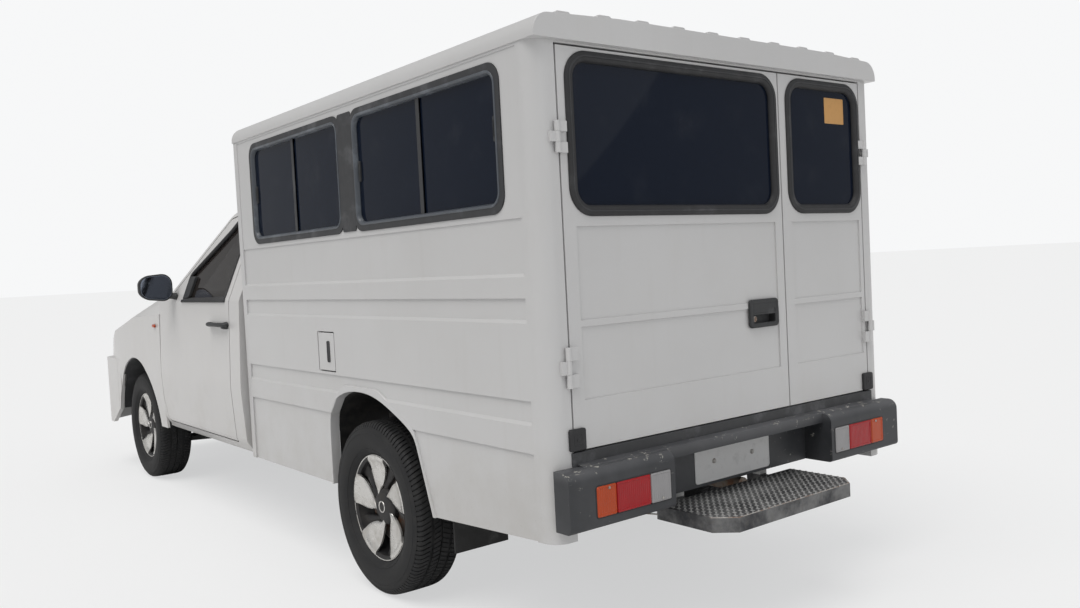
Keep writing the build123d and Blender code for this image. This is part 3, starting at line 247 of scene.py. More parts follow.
def scuffedBlack(name):
    # Charcoal paint on steel, chipped to pale primer and rust in small spots and long scratches. The top band is
    # painted lighter as a painted highlight from the sky, and more chips and scratches gather there
    paint = Finish(name, Roughness=0.5)
    # top band of the bumper: lightened as a painted highlight, with more chips and scratches
    litTopAndWear = paint.z.step(0.596, 0.626)
    chips = (paint.noise(34.0, 7.0, 0.72) + litTopAndWear * 0.045).step(0.645, 0.685)
    scratches = (paint.noise(60.0, 4.0, 0.6, stretch=(1.0, 0.12, 1.0)) + litTopAndWear * 0.03).step(0.68, 0.73)
    dust = paint.noise(5.0, 5.0).step(0.35, 0.75)
    # painted highlight: the top band is blended towards pale grey
    base = paint.blendColour(dust * 0.4 + litTopAndWear * 0.45, (0.024, 0.026, 0.03), (0.11, 0.111, 0.118))
    marks = (chips + scratches * 0.6).clip()
    paint.feed("Base Color", paint.blendColour(marks, base, (0.34, 0.33, 0.3)))
    paint.feed("Roughness", dust * 0.2 + 0.42)
    paint.bump(chips * -1.0, 0.25, 0.001)
    return paint.material


def filmed(name, colour, tint, film, rough, bump=None, metal=None, alpha=None, **constants):
    # Colour under a patchy film of the tint. film is the noise's scale, detail and roughness, its low and high step
    # and its amount; rough, metal and alpha are a value and its change with the film; bump is scale, detail, strength
    finish = Finish(name, **constants)
    patch = finish.noise(*film[:3]).step(*film[3:5])
    finish.feed("Base Color", finish.blendColour(patch * film[5], colour, tint))
    for socket, pair in (("Roughness", rough), ("Metallic", metal), ("Alpha", alpha)):
        if pair:
            finish.feed(socket, patch * pair[1] + pair[0])
    if bump:
        scale, detail, strength, *stretch = bump
        finish.bump(finish.noise(scale, detail, stretch=stretch[0] if stretch else None), strength, 0.001)
    return finish.material


def tyreRubber(name):
    return filmed(name, (0.0085, 0.0088, 0.01), (0.044, 0.043, 0.042), (22.0, 6.0, 0.66, 0.4, 0.75, 0.5), (0.7, 0.2),
                  (260.0, 3.0, 0.15), Roughness=0.8)


def machinedAlloy(name):
    # bright face with fine marks across it
    return filmed(name, (0.68, 0.67, 0.65), (0.36, 0.33, 0.29), (20.0, 6.0, 0.6, 0.42, 0.75, 0.5), (0.24, 0.3),
                  (90.0, 3.0, 0.06, (1.0, 6.0, 1.0)), (1.0, -0.5), Metallic=1.0, Roughness=0.3)


def paintedAlloy(name, colour):
    return filmed(name, colour, (0.085, 0.078, 0.07), (28.0, 6.0, 0.65, 0.36, 0.7, 0.4), (0.4, 0.3), (160.0, 3.0, 0.08),
                  Metallic=0.3, Roughness=0.5)


def rustyIron(name, colour):
    return filmed(name, colour, (0.17, 0.082, 0.04), (26.0, 7.0, 0.7, 0.42, 0.66, 1.0), (0.6, 0.25), (120.0, 5.0, 0.3),
                  (0.5, -0.45), Metallic=0.4, Roughness=0.75)


def darkGlass(name, colour, alpha):
    return filmed(name, colour, (0.16, 0.16, 0.16), (7.0, 6.0, 0.6, 0.5, 0.85, 0.06), (0.03, 0.08), None, None,
                  (alpha, 0.04), Roughness=0.04, Specular_IOR_Level=0.16)


def lensPlastic(name, colour, alpha):
    # Moulded lens with fine flutes across it
    lens = Finish(name, Roughness=0.12, Specular_IOR_Level=0.25, Coat_Weight=0.1)
    film = lens.noise(18.0, 5.0).step(0.45, 0.8)
    lens.feed("Base Color", lens.blendColour(film * 0.2, colour, tuple(c * 0.55 + 0.015 for c in colour)))
    lens.feed("Roughness", film * 0.25 + 0.1)
    lens.shader.inputs["Alpha"].default_value = alpha
    waves = lens.add("ShaderNodeTexWave", {"bands_direction": "Y"}, {"Vector": lens.place, "Scale": 38.0})
    lens.bump(Val(lens.tree, waves.outputs["Fac"]), 0.35, 0.002)
    return lens.material


def wornPlate(name):
    # Bare steel plate, bright where feet rub, brown film in the hollows
    plate = Finish(name, Roughness=0.4, Metallic=0.8)
    rub = plate.noise(7.0, 6.0, 0.65).step(0.36, 0.66)
    raised = plate.z.step(0.4209, 0.4217)
    film = plate.noise(60.0, 6.0, 0.7).step(0.46, 0.7) * (1.0 - raised)
    base = plate.blendColour(rub * 0.25 + raised * 0.75, (0.05, 0.051, 0.056), (0.62, 0.62, 0.61))
    plate.feed("Base Color", plate.blendColour(film * 0.5, base, (0.085, 0.078, 0.07)))
    plate.feed("Roughness", 0.6 - rub * 0.2 - raised * 0.1)
    plate.feed("Metallic", 0.6 - film * 0.4)
    plate.bump(plate.noise(90.0, 5.0), 0.2, 0.001)
    return plate.material


def wovenCloth(name, colour):
    cloth = Finish(name, Roughness=0.95)
    weave = cloth.add("ShaderNodeTexWave", {"bands_direction": "Y"}, {"Vector": cloth.place, "Scale": 130.0})
    cross = cloth.add("ShaderNodeTexWave", {"bands_direction": "Z"}, {"Vector": cloth.place, "Scale": 130.0})
    height = Val(cloth.tree, weave.outputs["Fac"]) * Val(cloth.tree, cross.outputs["Fac"])
    patch = cloth.noise(6.0, 5.0).step(0.35, 0.7)
    cloth.feed("Base Color", cloth.blendColour(patch, colour, tuple(c * 0.72 for c in colour)))
    cloth.feed("Roughness", height * 0.1 + 0.85)
    cloth.bump(height, 0.4, 0.002)
    return cloth.material


def mirrorGlass(name):
    return filmed(name, (0.3, 0.34, 0.42), (0.24, 0.25, 0.27), (16.0, 5.0, 0.55, 0.45, 0.8, 0.4), (0.05, 0.2),
                  Metallic=1.0, Roughness=0.06)


def blankPlate(name, colour):
    # painted sheet with faint dirt and rub marks, nothing printed on it
    return filmed(name, colour, tuple(c * 0.55 for c in colour), (30.0, 6.0, 0.65, 0.5, 0.8, 0.5), (0.4, 0.3),
                  (60.0, 3.0, 0.05), Roughness=0.45)


finishes = {
    "bodyPaint": bodyWhite("bodyPaint", (0.56, 0.558, 0.56), 1.0, 0.37),
    "cabPaint": bodyWhite("cabPaint", (0.6, 0.592, 0.588), 0.7, 0.37),
    "blackPlastic": blackTrim("blackPlastic", (0.028, 0.029, 0.031), 0.55, 0.35),
    "windowFrame": blackTrim("windowFrame", (0.03, 0.031, 0.034), 0.5, 0.5),
    "rubberFlap": blackTrim("rubberFlap", (0.022, 0.022, 0.022), 0.8, 0.6),
    "bumperBlack": scuffedBlack("bumperBlack"),
    "chassisBlack": paintedAlloy("chassisBlack", (0.022, 0.022, 0.023)),
    "castIron": rustyIron("castIron", (0.16, 0.15, 0.145)),
    "paintedEngine": paintedAlloy("paintedEngine", (0.26, 0.27, 0.28)),
    "engineIron": paintedAlloy("engineIron", (0.085, 0.088, 0.092)),
    "exhaustSteel": rustyIron("exhaustSteel", (0.24, 0.21, 0.18)),
    "tyreRubber": tyreRubber("tyreRubber"),
    "alloyBright": machinedAlloy("alloyBright"),
    "alloyDark": paintedAlloy("alloyDark", (0.018, 0.018, 0.02)),
    "boxGlass": darkGlass("boxGlass", (0.006, 0.01, 0.021), 0.95),
    "cabGlass": darkGlass("cabGlass", (0.02, 0.0165, 0.015), 0.84),
    "clearGlass": darkGlass("clearGlass", (0.25, 0.28, 0.28), 0.3),
    "headLens": lensPlastic("headLens", (0.6, 0.62, 0.64), 0.3),
    "lensRed": lensPlastic("lensRed", (0.34, 0.01, 0.014), 1.0),
    "lensAmber": lensPlastic("lensAmber", (0.44, 0.058, 0.012), 1.0),
    "lensClear": lensPlastic("lensClear", (0.3, 0.295, 0.3), 1.0),
    "treadPlate": wornPlate("treadPlate"),
    "floorLining": blackTrim("floorLining", (0.12, 0.12, 0.12), 0.8, 0.4),
    "seatCloth": wovenCloth("seatCloth", (0.1, 0.1, 0.105)),
    "sealRubber": blackTrim("sealRubber", (0.02, 0.02, 0.022), 0.6, 0.25),
    "sashGrey": blackTrim("sashGrey", (0.075, 0.085, 0.1), 0.35, 0.4),
    "mirrorGlass": mirrorGlass("mirrorGlass"),
    "plateBlank": blankPlate("plateBlank", (0.56, 0.56, 0.56)),
    "stickerBlank": blankPlate("stickerBlank", (0.55, 0.29, 0.09)),
    "zincSteel": rustyIron("zincSteel", (0.45, 0.44, 0.42)),
    "dashPlastic": blackTrim("dashPlastic", (0.045, 0.045, 0.047), 0.6, 0.1),
}

nodesByFinish = {
    "floorLining": "box_floor",
    "bodyPaint": "box_front_wall box_rear_frame box_roof box_side_left box_side_right fuel_flap rear_door_left "
                 "rear_door_right",
    "castIron": "brake_disc_front_left brake_disc_front_right brake_drum_rear_left brake_drum_rear_right "
                "knuckle_left knuckle_right",
    "cabPaint": "cab_door_left cab_door_right cab_shell front_bumper front_fenders hood",
    "clearGlass": "cab_back_glass windscreen",
    "chassisBlack": "chassis_cross chassis_rails front_panel front_suspension leaf_springs rear_axle",
    "blackPlastic": "arch_liners dashboard door_fittings_left door_fittings_right fuel_tank grille rear_door_handle "
                    "steering_wheel",
    "cabGlass": "door_glass_left door_glass_right",
    "engineIron": "engine_block",
    "exhaustSteel": "exhaust",
    "headLens": "headlamps",
    "rubberFlap": "mud_flaps",
    "bumperBlack": "rear_bumper",
    "boxGlass": "rear_glass_left rear_glass_right side_glass",
    "treadPlate": "rear_step",
    "windowFrame": "side_window_frames",
    "lensRed": "tail_lamps",
    "seatCloth": "cab_seat",
}
nodeFinish = {node: finish for finish, nodes in nodesByFinish.items() for node in nodes.split()}


def paintNodes(nodes):
    for name, finish in nodeFinish.items():
        slots = nodes[name].material_slots
        if not slots:
            nodes[name].data.materials.append(finishes[finish])
        for slot in nodes[name].material_slots:
            slot.material = finishes[finish]


paintNodes(frame["nodes"])

print("stage 3: tyres and wheels")


def smooth(value, low, high):
    # smooth step from 0 to 1 between low and high
    t = np.clip((value - low) / (high - low), 0.0, 1.0)
    return t * t * (3.0 - 2.0 * t)


def gridFaces(rows, columns, closeRows=False, closeColumns=False):
    # quads of a rows by columns grid of points, in order, joined round where it is closed
    r = np.arange(rows if closeRows else rows - 1)
    c = np.arange(columns if closeColumns else columns - 1)
    i, j = (a.ravel() for a in np.meshgrid(r, c, indexing="ij"))
    i2, j2 = (i + 1) % rows, (j + 1) % columns
    return np.stack([i * columns + j, i * columns + j2, i2 * columns + j2, i2 * columns + j], axis=1)


def outward(points, faces):
    # turns the faces of a closed surface outwards, judged by its signed volume
    p = points[faces]
    volume = np.sum(p[:, 0] * (np.cross(p[:, 1], p[:, 2]) + np.cross(p[:, 2], p[:, 3])))
    return points, faces if volume >= 0 else faces[:, ::-1]


def capped(rings):
    # rings of one point count each, joined along and closed at both ends by strips across
    rows, count = rings.shape[:2]
    k = np.arange(count // 2 - 1)
    first = np.stack([k + 1, k, count - 1 - k, count - 2 - k], axis=1)
    last = np.stack([k, k + 1, count - 2 - k, count - 1 - k], axis=1) + (rows - 1) * count
    faces = np.concatenate([gridFaces(rows, count, closeColumns=True), first, last])
    return outward(rings.reshape(-1, 3), faces)


def roundedLoop(box, radius, inset=0.0, steps=7):
    # points round a rectangle (a low, a high, b low, b high) with rounded corners, pulled in by inset
    aLow, aHigh, bLow, bHigh = box
    r = max(radius - inset, 0.0003)
    angle = (np.linspace(0, pi / 2, steps)[None, :] + np.arange(4)[:, None] * pi / 2)
    a = np.array([aHigh, aLow, aLow, aHigh])[:, None] - np.array([1, -1, -1, 1])[:, None] * (inset + r)
    b = np.array([bHigh, bHigh, bLow, bLow])[:, None] - np.array([1, 1, -1, -1])[:, None] * (inset + r)
    return (a + r * np.cos(angle)).ravel(), (b + r * np.sin(angle)).ravel()


def slab(box, radius, profile, plane, steps=7):
    # solid pad: one rounded rectangle for each (inset, depth) of the profile, from its back to its face
    return capped(np.stack([plane(*roundedLoop(box, radius, inset, steps), depth) for inset, depth in profile]))


def frameLoop(box, radius, profile, plane, steps=7):
    # closed strip round a rounded rectangle with the section (offset outwards, depth)
    rings = np.stack([plane(*roundedLoop(box, radius, -offset, steps), depth) for offset, depth in profile])
    return outward(rings.reshape(-1, 3), gridFaces(rings.shape[0], rings.shape[1], closeRows=True, closeColumns=True))


def tube(path, radius, sides, squash=1.0):
    # circle carried along a path of points, with closed ends
    path = np.asarray(path, float)
    along = np.gradient(path, axis=0)
    along /= np.linalg.norm(along, axis=1)[:, None]
    spread = np.abs(path[-1] - path[0])
    reference = np.eye(3)[int(np.argmin(spread))]
    first = np.cross(along, reference)
    first /= np.linalg.norm(first, axis=1)[:, None]
    second = np.cross(along, first)
    angle = np.linspace(0, 2 * pi, sides, endpoint=False)
    radius = np.broadcast_to(np.asarray(radius, float), len(path))
    rings = (path[:, None, :] + radius[:, None, None] * (
        np.cos(angle)[None, :, None] * first[:, None, :] + squash * np.sin(angle)[None, :, None] * second[:, None, :]))
    return capped(rings)


def sheetSolid(top, drop):
    # thin closed sheet below a grid of points
    return capped(np.concatenate([top, (top - np.array(drop))[:, ::-1]], axis=1))


def turned(profile, centre, axis, around=32):
    # profile of (radius, distance along the axis) turned about an axis, closed at both ends on the axis
    axis = np.asarray(axis, float) / np.linalg.norm(axis)
    first = np.cross(axis, np.eye(3)[int(np.argmin(np.abs(axis)))])
    first /= np.linalg.norm(first)
    second = np.cross(axis, first)
    angle = np.linspace(0, 2 * pi, around, endpoint=False)
    circle = np.cos(angle)[:, None] * first + np.sin(angle)[:, None] * second
    rings = np.stack([np.array(centre) + r * circle + h * axis for r, h in profile])
    return capped(rings)


def facing(x, way):
    # plane across the truck at x: a runs along y, b up, and depth towards way
    return lambda a, b, depth: np.stack([np.full_like(a, x + way * depth), a, b], axis=-1)


rearPlane = facing(boxRearX, -1)


def lying(z):
    # level plane at height z: a runs along x, b along y, and depth up
    return lambda a, b, depth: np.stack([a, b, np.full_like(a, z + depth)], axis=-1)


def sidePlane(hand, base=boxHalf):
    return lambda a, b, depth: np.stack([a, np.full_like(a, hand * (base + depth)), b], axis=-1)


def meshObject(name, points, faces, finish, body="root", slot="black_plastic", flat=False, marks=None, more=()):
    # one object from arrays of points and quads; marks gives each face's material number
    data = bpy.data.meshes.new(name)
    data.vertices.add(len(points))
    data.vertices.foreach_set("co", np.asarray(points, float).ravel())
    data.loops.add(faces.size)
    data.loops.foreach_set("vertex_index", faces.ravel())
    data.polygons.add(len(faces))
    data.polygons.foreach_set("loop_start", np.arange(len(faces)) * faces.shape[1])
    data.polygons.foreach_set("use_smooth", np.full(len(faces), not flat))
    data.materials.append(finishes[finish])
    for other in more:
        data.materials.append(finishes[other])
    if marks is not None:
        data.polygons.foreach_set("material_index", marks)
    data.update(calc_edges=True)
    data.validate()
    item = bpy.data.objects.new(name, data)
    bpy.context.scene.collection.objects.link(item)
    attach(item, body)
    return item


def joined(*parts):
    # several (points, faces) arrays as one
    points, faces, base = [], [], 0
    for somePoints, someFaces in parts:
        points.append(somePoints)
        faces.append(someFaces + base)
        base += len(somePoints)
    return np.concatenate(points), np.concatenate(faces)


def placed(points, place, hand):
    # a wheel made with its face towards +Y, put at its axle; hand -1 mirrors it to the other side
    out = points.copy()
    out[:, 1] *= hand
    return out + np.array(place)


def sampled(corners, count):
    # corners of a profile rounded by a Catmull-Rom curve, as evenly spaced points
    p = np.array(corners, float)
    p = np.vstack([2 * p[0] - p[1], p, 2 * p[-1] - p[-2]])
    t = np.linspace(0, len(corners) - 1 - 1e-9, count)
    k = t.astype(int)
    u = (t - k)[:, None]
    a, b, c, d = p[k], p[k + 1], p[k + 2], p[k + 3]
    return 0.5 * (2 * b + (c - a) * u + (2 * a - 5 * b + 4 * c - d) * u ** 2 + (3 * b - 3 * c + d - a) * u ** 3)


tyreSettings = {
    "lugs": 108, "phases": (0.0, 0.36, 0.4, 0.5, 0.6, 0.64), "shear": 1.1, "slot": 0.13,
    "lugDepth": 0.0055, "sipeDepth": 0.0035, "grooveDepth": 0.008,
    "profile": [  # radius and y, from the middle of the tread over the shoulder and down the wall to the bead
        (0.333, 0.0), (0.333, 0.0024), (0.333, 0.0034), (0.3329, 0.012), (0.3328, 0.023), (0.3327, 0.0312),
        (0.3327, 0.0324), (0.3326, 0.038), (0.3325, 0.0436), (0.3325, 0.0448), (0.3322, 0.054), (0.3316, 0.064),
        (0.3306, 0.072), (0.3285, 0.0785), (0.3245, 0.084), (0.319, 0.0882), (0.312, 0.0918), (0.3112, 0.0936),
        (0.3088, 0.0946), (0.308, 0.0934), (0.301, 0.0962), (0.2925, 0.0984), (0.2918, 0.0994),
        (0.2902, 0.0996), (0.2895, 0.0988), (0.276, 0.1006),
        (0.262, 0.1014), (0.248, 0.1), (0.235, 0.0966), (0.229, 0.094), (0.2284, 0.095), (0.2262, 0.0944),
        (0.2256, 0.0924), (0.218, 0.0872), (0.209, 0.0788), (0.2045, 0.072), (0.2, 0.069), (0.194, 0.068),
    ],
    "grooves": ((0.0, 0.003), (0.038, 0.006)),
}


def tyreSurface(s):
    # Profile (radius, y) turned about Y. Points lie at a few phases of each lug, turned by shear x |y|, so the
    # slots between lugs run along the grid. A slot lowers the tread, and on the shoulder pulls the wall in.
    half = np.array(s["profile"])
    profile = np.vstack([half[:0:-1] * [1, -1], half])
    lug = np.arange(s["lugs"])[:, None] + np.array(s["phases"])[None, :]
    slot = np.tile((np.abs(np.array(s["phases"]) - 0.5) < s["slot"]).astype(float), s["lugs"])[:, None]
    y = profile[:, 1][None, :]
    side = np.abs(y)
    stagger = smooth(y, -0.002, 0.002) * 0.5
    angle = 2 * pi * (lug.ravel()[:, None] + stagger) / s["lugs"] + s["shear"] * np.clip(side, 0, 0.09)
    radius = np.repeat(profile[:, 0][None, :], len(angle), axis=0)
    shoulder = (side > 0.0442) & (radius > 0.3115)
    middle = (side > 0.0032) & (side < 0.0318)
    onWall = smooth(side, 0.08, 0.092)
    cut = s["lugDepth"] * slot * shoulder
    radius = radius - cut * (1 - onWall * 0.6) - s["sipeDepth"] * slot * middle
    for place, width in s["grooves"]:
        radius = radius - s["grooveDepth"] * (np.abs(side - place) < width)
    y = np.sign(y) * (side - cut * onWall * 0.6)
    points = np.stack([radius * np.sin(angle), y + 0 * radius, -radius * np.cos(angle)], axis=2)
    return points.reshape(-1, 3), gridFaces(len(angle), profile.shape[0], closeRows=True, closeColumns=True)


wheelSettings = {
    "blades": 5, "around": 192, "along": 34, "across": 19, "rim": 0.187,
    "blade": [  # share of the rim's radius, angle of the trailing and of the leading edge in degrees, face y
        (0.285, -40.0, -30.0, 0.059), (0.36, -37.0, -14.0, 0.0605), (0.45, -34.0, 3.0, 0.0622),
        (0.56, -32.0, 11.0, 0.0645), (0.68, -29.5, 15.0, 0.0668), (0.82, -26.0, 16.5, 0.07),
        (0.94, -23.0, 16.0, 0.0745), (1.0, -22.0, 15.5, 0.0785), (1.068, -21.5, 15.0, 0.0792),
    ],
    "spoke": [
        (0.22, -25.0, 10.0, 0.05), (0.42, -4.0, 17.0, 0.051), (0.64, 9.0, 28.0, 0.052),
        (0.85, 14.0, 32.0, 0.053), (1.01, 15.0, 34.0, 0.054),
    ],
    "barrel": [  # radius, y of the rim from its outer lip over the seat to the inner lip and back inside
        (0.186, 0.06), (0.1868, 0.069), (0.1935, 0.074), (0.1992, 0.075), (0.2, 0.076), (0.2028, 0.076),
        (0.2036, 0.0742), (0.202, 0.0728), (0.1915, 0.069), (0.1902, 0.066), (0.1902, -0.066), (0.1915, -0.069),
        (0.2025, -0.0732), (0.2025, -0.0758), (0.185, -0.074), (0.18, -0.05), (0.165, -0.03), (0.165, 0.015),
        (0.18, 0.035),
    ],
    "bright": (3, 6),
    "hub": [  # radius, y from the middle of the cap out and down the hub's side
        (0.0004, 0.064), (0.018, 0.0637), (0.0196, 0.0648), (0.0222, 0.065), (0.0232, 0.0634), (0.03, 0.0622),
        (0.048, 0.06), (0.062, 0.056), (0.069, 0.05), (0.072, 0.044), (0.072, 0.029), (0.0004, 0.0285),
    ],
}


def turnedSurface(profile, around, closed):
    angle = np.linspace(0, 2 * pi, around, endpoint=False)
    p = np.array(profile)
    points = np.stack([
        np.outer(np.sin(angle), p[:, 0]), np.repeat(p[:, 1][None, :], around, axis=0),
        -np.outer(np.cos(angle), p[:, 0])], axis=2)
    return points.reshape(-1, 3), gridFaces(around, len(profile), closeRows=True, closeColumns=closed)


def bladeSurface(s, table, index, thickness, fold):
    # Closed blade from hub to rim. Its edges are two angles that change with the radius, its face has a fold
    # along the middle and rounded edges, and its back lies a thickness behind.
    share, low, high, top = (sampled([(v, 0.0) for v in column], s["along"])[:, 0] for column in zip(*table))
    v = np.linspace(0, 1, s["across"])
    angle = np.radians(low[:, None] + (high - low)[:, None] * v[None, :]) + 2 * pi * index / s["blades"] + pi
    radius = (share * s["rim"])[:, None]
    edge = np.abs(2 * v - 1)
    y = top[:, None] - (0.003 * edge ** 8)[None, :] - (fold * edge)[None, :] * (1 - smooth(share, 0.85, 1.0))[:, None]
    front = np.stack([radius * np.sin(angle), y, -radius * np.cos(angle)], axis=2)
    back = front.copy()
    back[:, :, 1] = (top - thickness)[:, None]
    return capped(np.concatenate([front, back[:, ::-1]], axis=1))


def makeWheel(end, hand, place, body):
    side = "left" if hand > 0 else "right"
    points, faces = tyreSurface(tyreSettings)
    tyre = meshObject(f"tyreTread_{end}_{side}", *outward(placed(points, place, hand), faces), "tyreRubber", body,
                      "tyre_rubber")
    sharp = tyre.modifiers.new("edges", "EDGE_SPLIT")
    sharp.split_angle = 0.6
    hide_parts(f"tyre_{end}_{side}")
    s = wheelSettings
    rim = turnedSurface(s["barrel"], s["around"], True)
    hub = turnedSurface(s["hub"], 96, False)
    parts = [rim, hub]
    row = np.tile(np.arange(len(s["barrel"])), s["around"])
    marks = [np.where((row >= s["bright"][0]) & (row < s["bright"][1]), 0, 1)]
    row = np.tile(np.arange(len(s["hub"]) - 1), 96)
    marks.append(np.where((row > 0) & (row < 4), 0, 1))
    for index in range(s["blades"]):
        for table, thickness, fold, mark in ((s["blade"], 0.014, 0.0035, 0), (s["spoke"], 0.022, 0.005, 1)):
            part = bladeSurface(s, table, index, thickness, fold)
            parts.append(part)
            marks.append(np.full(len(part[1]), mark))
    oriented = [outward(placed(p, place, hand), f) for p, f in parts]
    wheel = meshObject(f"alloyWheel_{end}_{side}", *joined(*oriented), "alloyBright", body, "alloy",
                       marks=np.concatenate(marks), more=("alloyDark",))
    sharp = wheel.modifiers.new("edges", "EDGE_SPLIT")
    sharp.split_angle = 0.5
    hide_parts(f"wheel_{end}_{side}")


sides = ((1, "left"), (-1, "right"))
for hand, side in sides:
    makeWheel("front", hand, (frontAxleX, hand * frontWheelY, tyreRadius), f"wheel_front_{side}")
    makeWheel("rear", hand, (rearAxleX, hand * rearWheelY, tyreRadius), f"wheel_rear_{side}")


print("stage 4: windows and seals of the rear body")

sideWindowSettings = {
    "spans": ((rearAxleX - 0.94, rearAxleX + 0.032), (rearAxleX + 0.118, rearAxleX + 1.04)), "seal": 0.026,
    "low": 1.39, "high": 1.85, "corner": 0.044, "latchHeight": 0.078, "latchWidth": 0.013,
    "bead": [  # offset from the glass opening, depth from the skin
        (0.0045, 0.0006), (0.004, 0.0024), (0.0005, 0.0034), (-0.0035, 0.0022), (-0.006, -0.004),
        (-0.0085, -0.011), (-0.01, -0.0152), (-0.002, -0.0154),
    ],
    "sashBack": -0.016, "sashes": ((0.006, 0.0045, -0.012), (-0.007, 0.004, -0.01)),  # shift, half width, depth
    "latch": [(0.0, -0.016), (0.0, -0.0095), (0.0018, -0.007), (0.0045, -0.0064)], "latchSpots": (0.03, -0.005),
    "latchRib": [(0.0, -0.0075), (0.0005, -0.0045)], "pillar": [(0.0, -0.002), (0.0, 0.0006), (0.0015, 0.0012)],
}


def sideWindowTrim(s, hand, side):
    plane = sidePlane(hand)
    beads, sashes, latches = [], [], []
    for low, high in s["spans"]:
        box = (low + s["seal"], high - s["seal"], s["low"] + s["seal"], s["high"] - s["seal"])
        beads.append(frameLoop(box, s["corner"], s["bead"], plane))
        middle = (low + high) / 2
        for shift, width, depth in s["sashes"]:
            strip = (middle + shift - width, middle + shift + width, box[2] + 0.002, box[3] - 0.002)
            sashes.append(slab(strip, 0.001, [(0.0, s["sashBack"]), (0.0, depth), (0.0012, depth + 0.0012)], plane))
        for x, lift in zip((box[0] + 0.02, box[1] - 0.02), s["latchSpots"]):
            centre = (s["low"] + s["high"]) / 2 + lift
            half = s["latchHeight"] / 2
            pad = (x - s["latchWidth"] / 2, x + s["latchWidth"] / 2, centre - half, centre + half)
            latches.append(slab(pad, 0.005, s["latch"], plane))
            rib = (x - 0.0015, x + 0.0015, centre - half + 0.012, centre + half - 0.012)
            latches.append(slab(rib, 0.001, s["latchRib"], plane))
    (_, rearEnd), (frontEnd, _) = s["spans"]
    pillar = (rearEnd - 0.012, frontEnd + 0.012, s["low"] + 0.004, s["high"] - 0.004)
    panel = slab(pillar, 0.01, s["pillar"], plane)
    meshObject(f"sideWindowPillar_{side}", *panel, "windowFrame", flat=True)
    meshObject(f"sideWindowBeads_{side}", *joined(*beads), "sashGrey")
    meshObject(f"sideWindowSashes_{side}", *joined(*sashes), "sashGrey", flat=True)
    meshObject(f"sideWindowLatches_{side}", *joined(*latches), "blackPlastic", flat=True)


rearWindowSettings = {
    "left": (-0.23, 0.709, 1.387, 1.84), "right": (-0.73, -0.32, 1.387, 1.84), "corner": 0.066,
    "gasket": [  # offset from the opening, depth from the door's skin
        (0.0185, 0.0002), (0.019, 0.003), (0.015, 0.0066), (0.004, 0.0085), (-0.006, 0.0075),
        (-0.012, 0.003), (-0.014, -0.004), (-0.0155, -0.0078), (0.0, -0.008),
    ],
    "insert": [  # filler strip in the gasket's groove
        (0.0065, 0.007), (0.005, 0.0094), (0.002, 0.0098), (0.0, 0.0082),
    ],
    "sticker": (-0.668, -0.548, 1.706, 1.802), "stickerRise": [(0.0, -0.0079), (0.0, -0.0074), (0.0006, -0.0072)],
}


def rearDoorTrim(s):
    for side in ("left", "right"):
        body = f"rear_door_{side}"
        gasket = frameLoop(s[side], s["corner"], s["gasket"], rearPlane, steps=12)
        meshObject(f"rearGasket_{side}", *gasket, "sealRubber", body)
        insert = frameLoop(s[side], s["corner"], s["insert"], rearPlane, steps=12)
        meshObject(f"rearGasketInsert_{side}", *insert, "windowFrame", body)
    sticker = slab(s["sticker"], 0.004, s["stickerRise"], rearPlane)
    meshObject("blankSticker", *sticker, "stickerBlank", "rear_door_right", "body_paint")


for hand, side in sides:
    sideWindowTrim(sideWindowSettings, hand, side)
rearDoorTrim(rearWindowSettings)

handleSettings = {
    "housing": (-0.211, -0.056, 0.973, 1.07), "corner": 0.014,
    "rim": [  # offset from the housing's edge, depth from the skin
        (0.001, 0.0002), (0.001, 0.005), (-0.002, 0.0088), (-0.007, 0.0094), (-0.012, 0.0076),
        (-0.015, 0.004), (-0.016, 0.001), (-0.008, 0.0004),
    ],
    "paddle": (-0.194, -0.073, 1.019, 1.052), "lock": (-0.086, 1.003), "lockRadius": 0.011,
    "paddleRise": [(0.0, -0.012), (0.0, 0.003), (0.0012, 0.005), (0.004, 0.0062), (0.01, 0.0066)],
    "lipRise": [(0.0, -0.012), (0.0, 0.006), (0.0008, 0.0076)], "floorRise": [(0.0, -0.024), (0.0, -0.0225)],
    "barrel": [  # share of the lock's radius, depth
        (0.2, -0.022), (1.0, -0.022), (1.0, 0.0012), (0.85, 0.003), (0.8, 0.003), (0.75, 0.0018), (0.1, 0.0018),
    ],
    "slotHalf": (0.001, 0.0055), "slotRise": [(0.0, 0.0016), (0.0, 0.0021)],
}


def rearHandle(s):
    parts = [frameLoop(s["housing"], s["corner"], s["rim"], rearPlane)]
    parts.append(slab(s["paddle"], 0.004, s["paddleRise"], rearPlane))
    lip = (s["paddle"][0] + 0.002, s["paddle"][1] - 0.002, s["paddle"][2] - 0.002, s["paddle"][2] + 0.004)
    parts.append(slab(lip, 0.002, s["lipRise"], rearPlane))
    floor = (s["housing"][0] + 0.014, s["housing"][1] - 0.014, s["housing"][2] + 0.012, s["housing"][3] - 0.012)
    parts.append(slab(floor, 0.008, s["floorRise"], rearPlane))
    meshObject("rearHandleTrim", *joined(*parts), "blackPlastic", "rear_door_left", flat=True)
    y, z = s["lock"]
    barrel = turned([(s["lockRadius"] * share, depth) for share, depth in s["barrel"]], (boxRearX, y, z), (-1, 0, 0))
    wide, tall = s["slotHalf"]
    slot = slab((y - wide, y + wide, z - tall, z + tall), 0.0006, s["slotRise"], rearPlane)
    meshObject("rearLock", *barrel, "zincSteel", "rear_door_left")
    meshObject("rearLockSlot", *slot, "sealRubber", "rear_door_left", flat=True)


rearHandle(handleSettings)

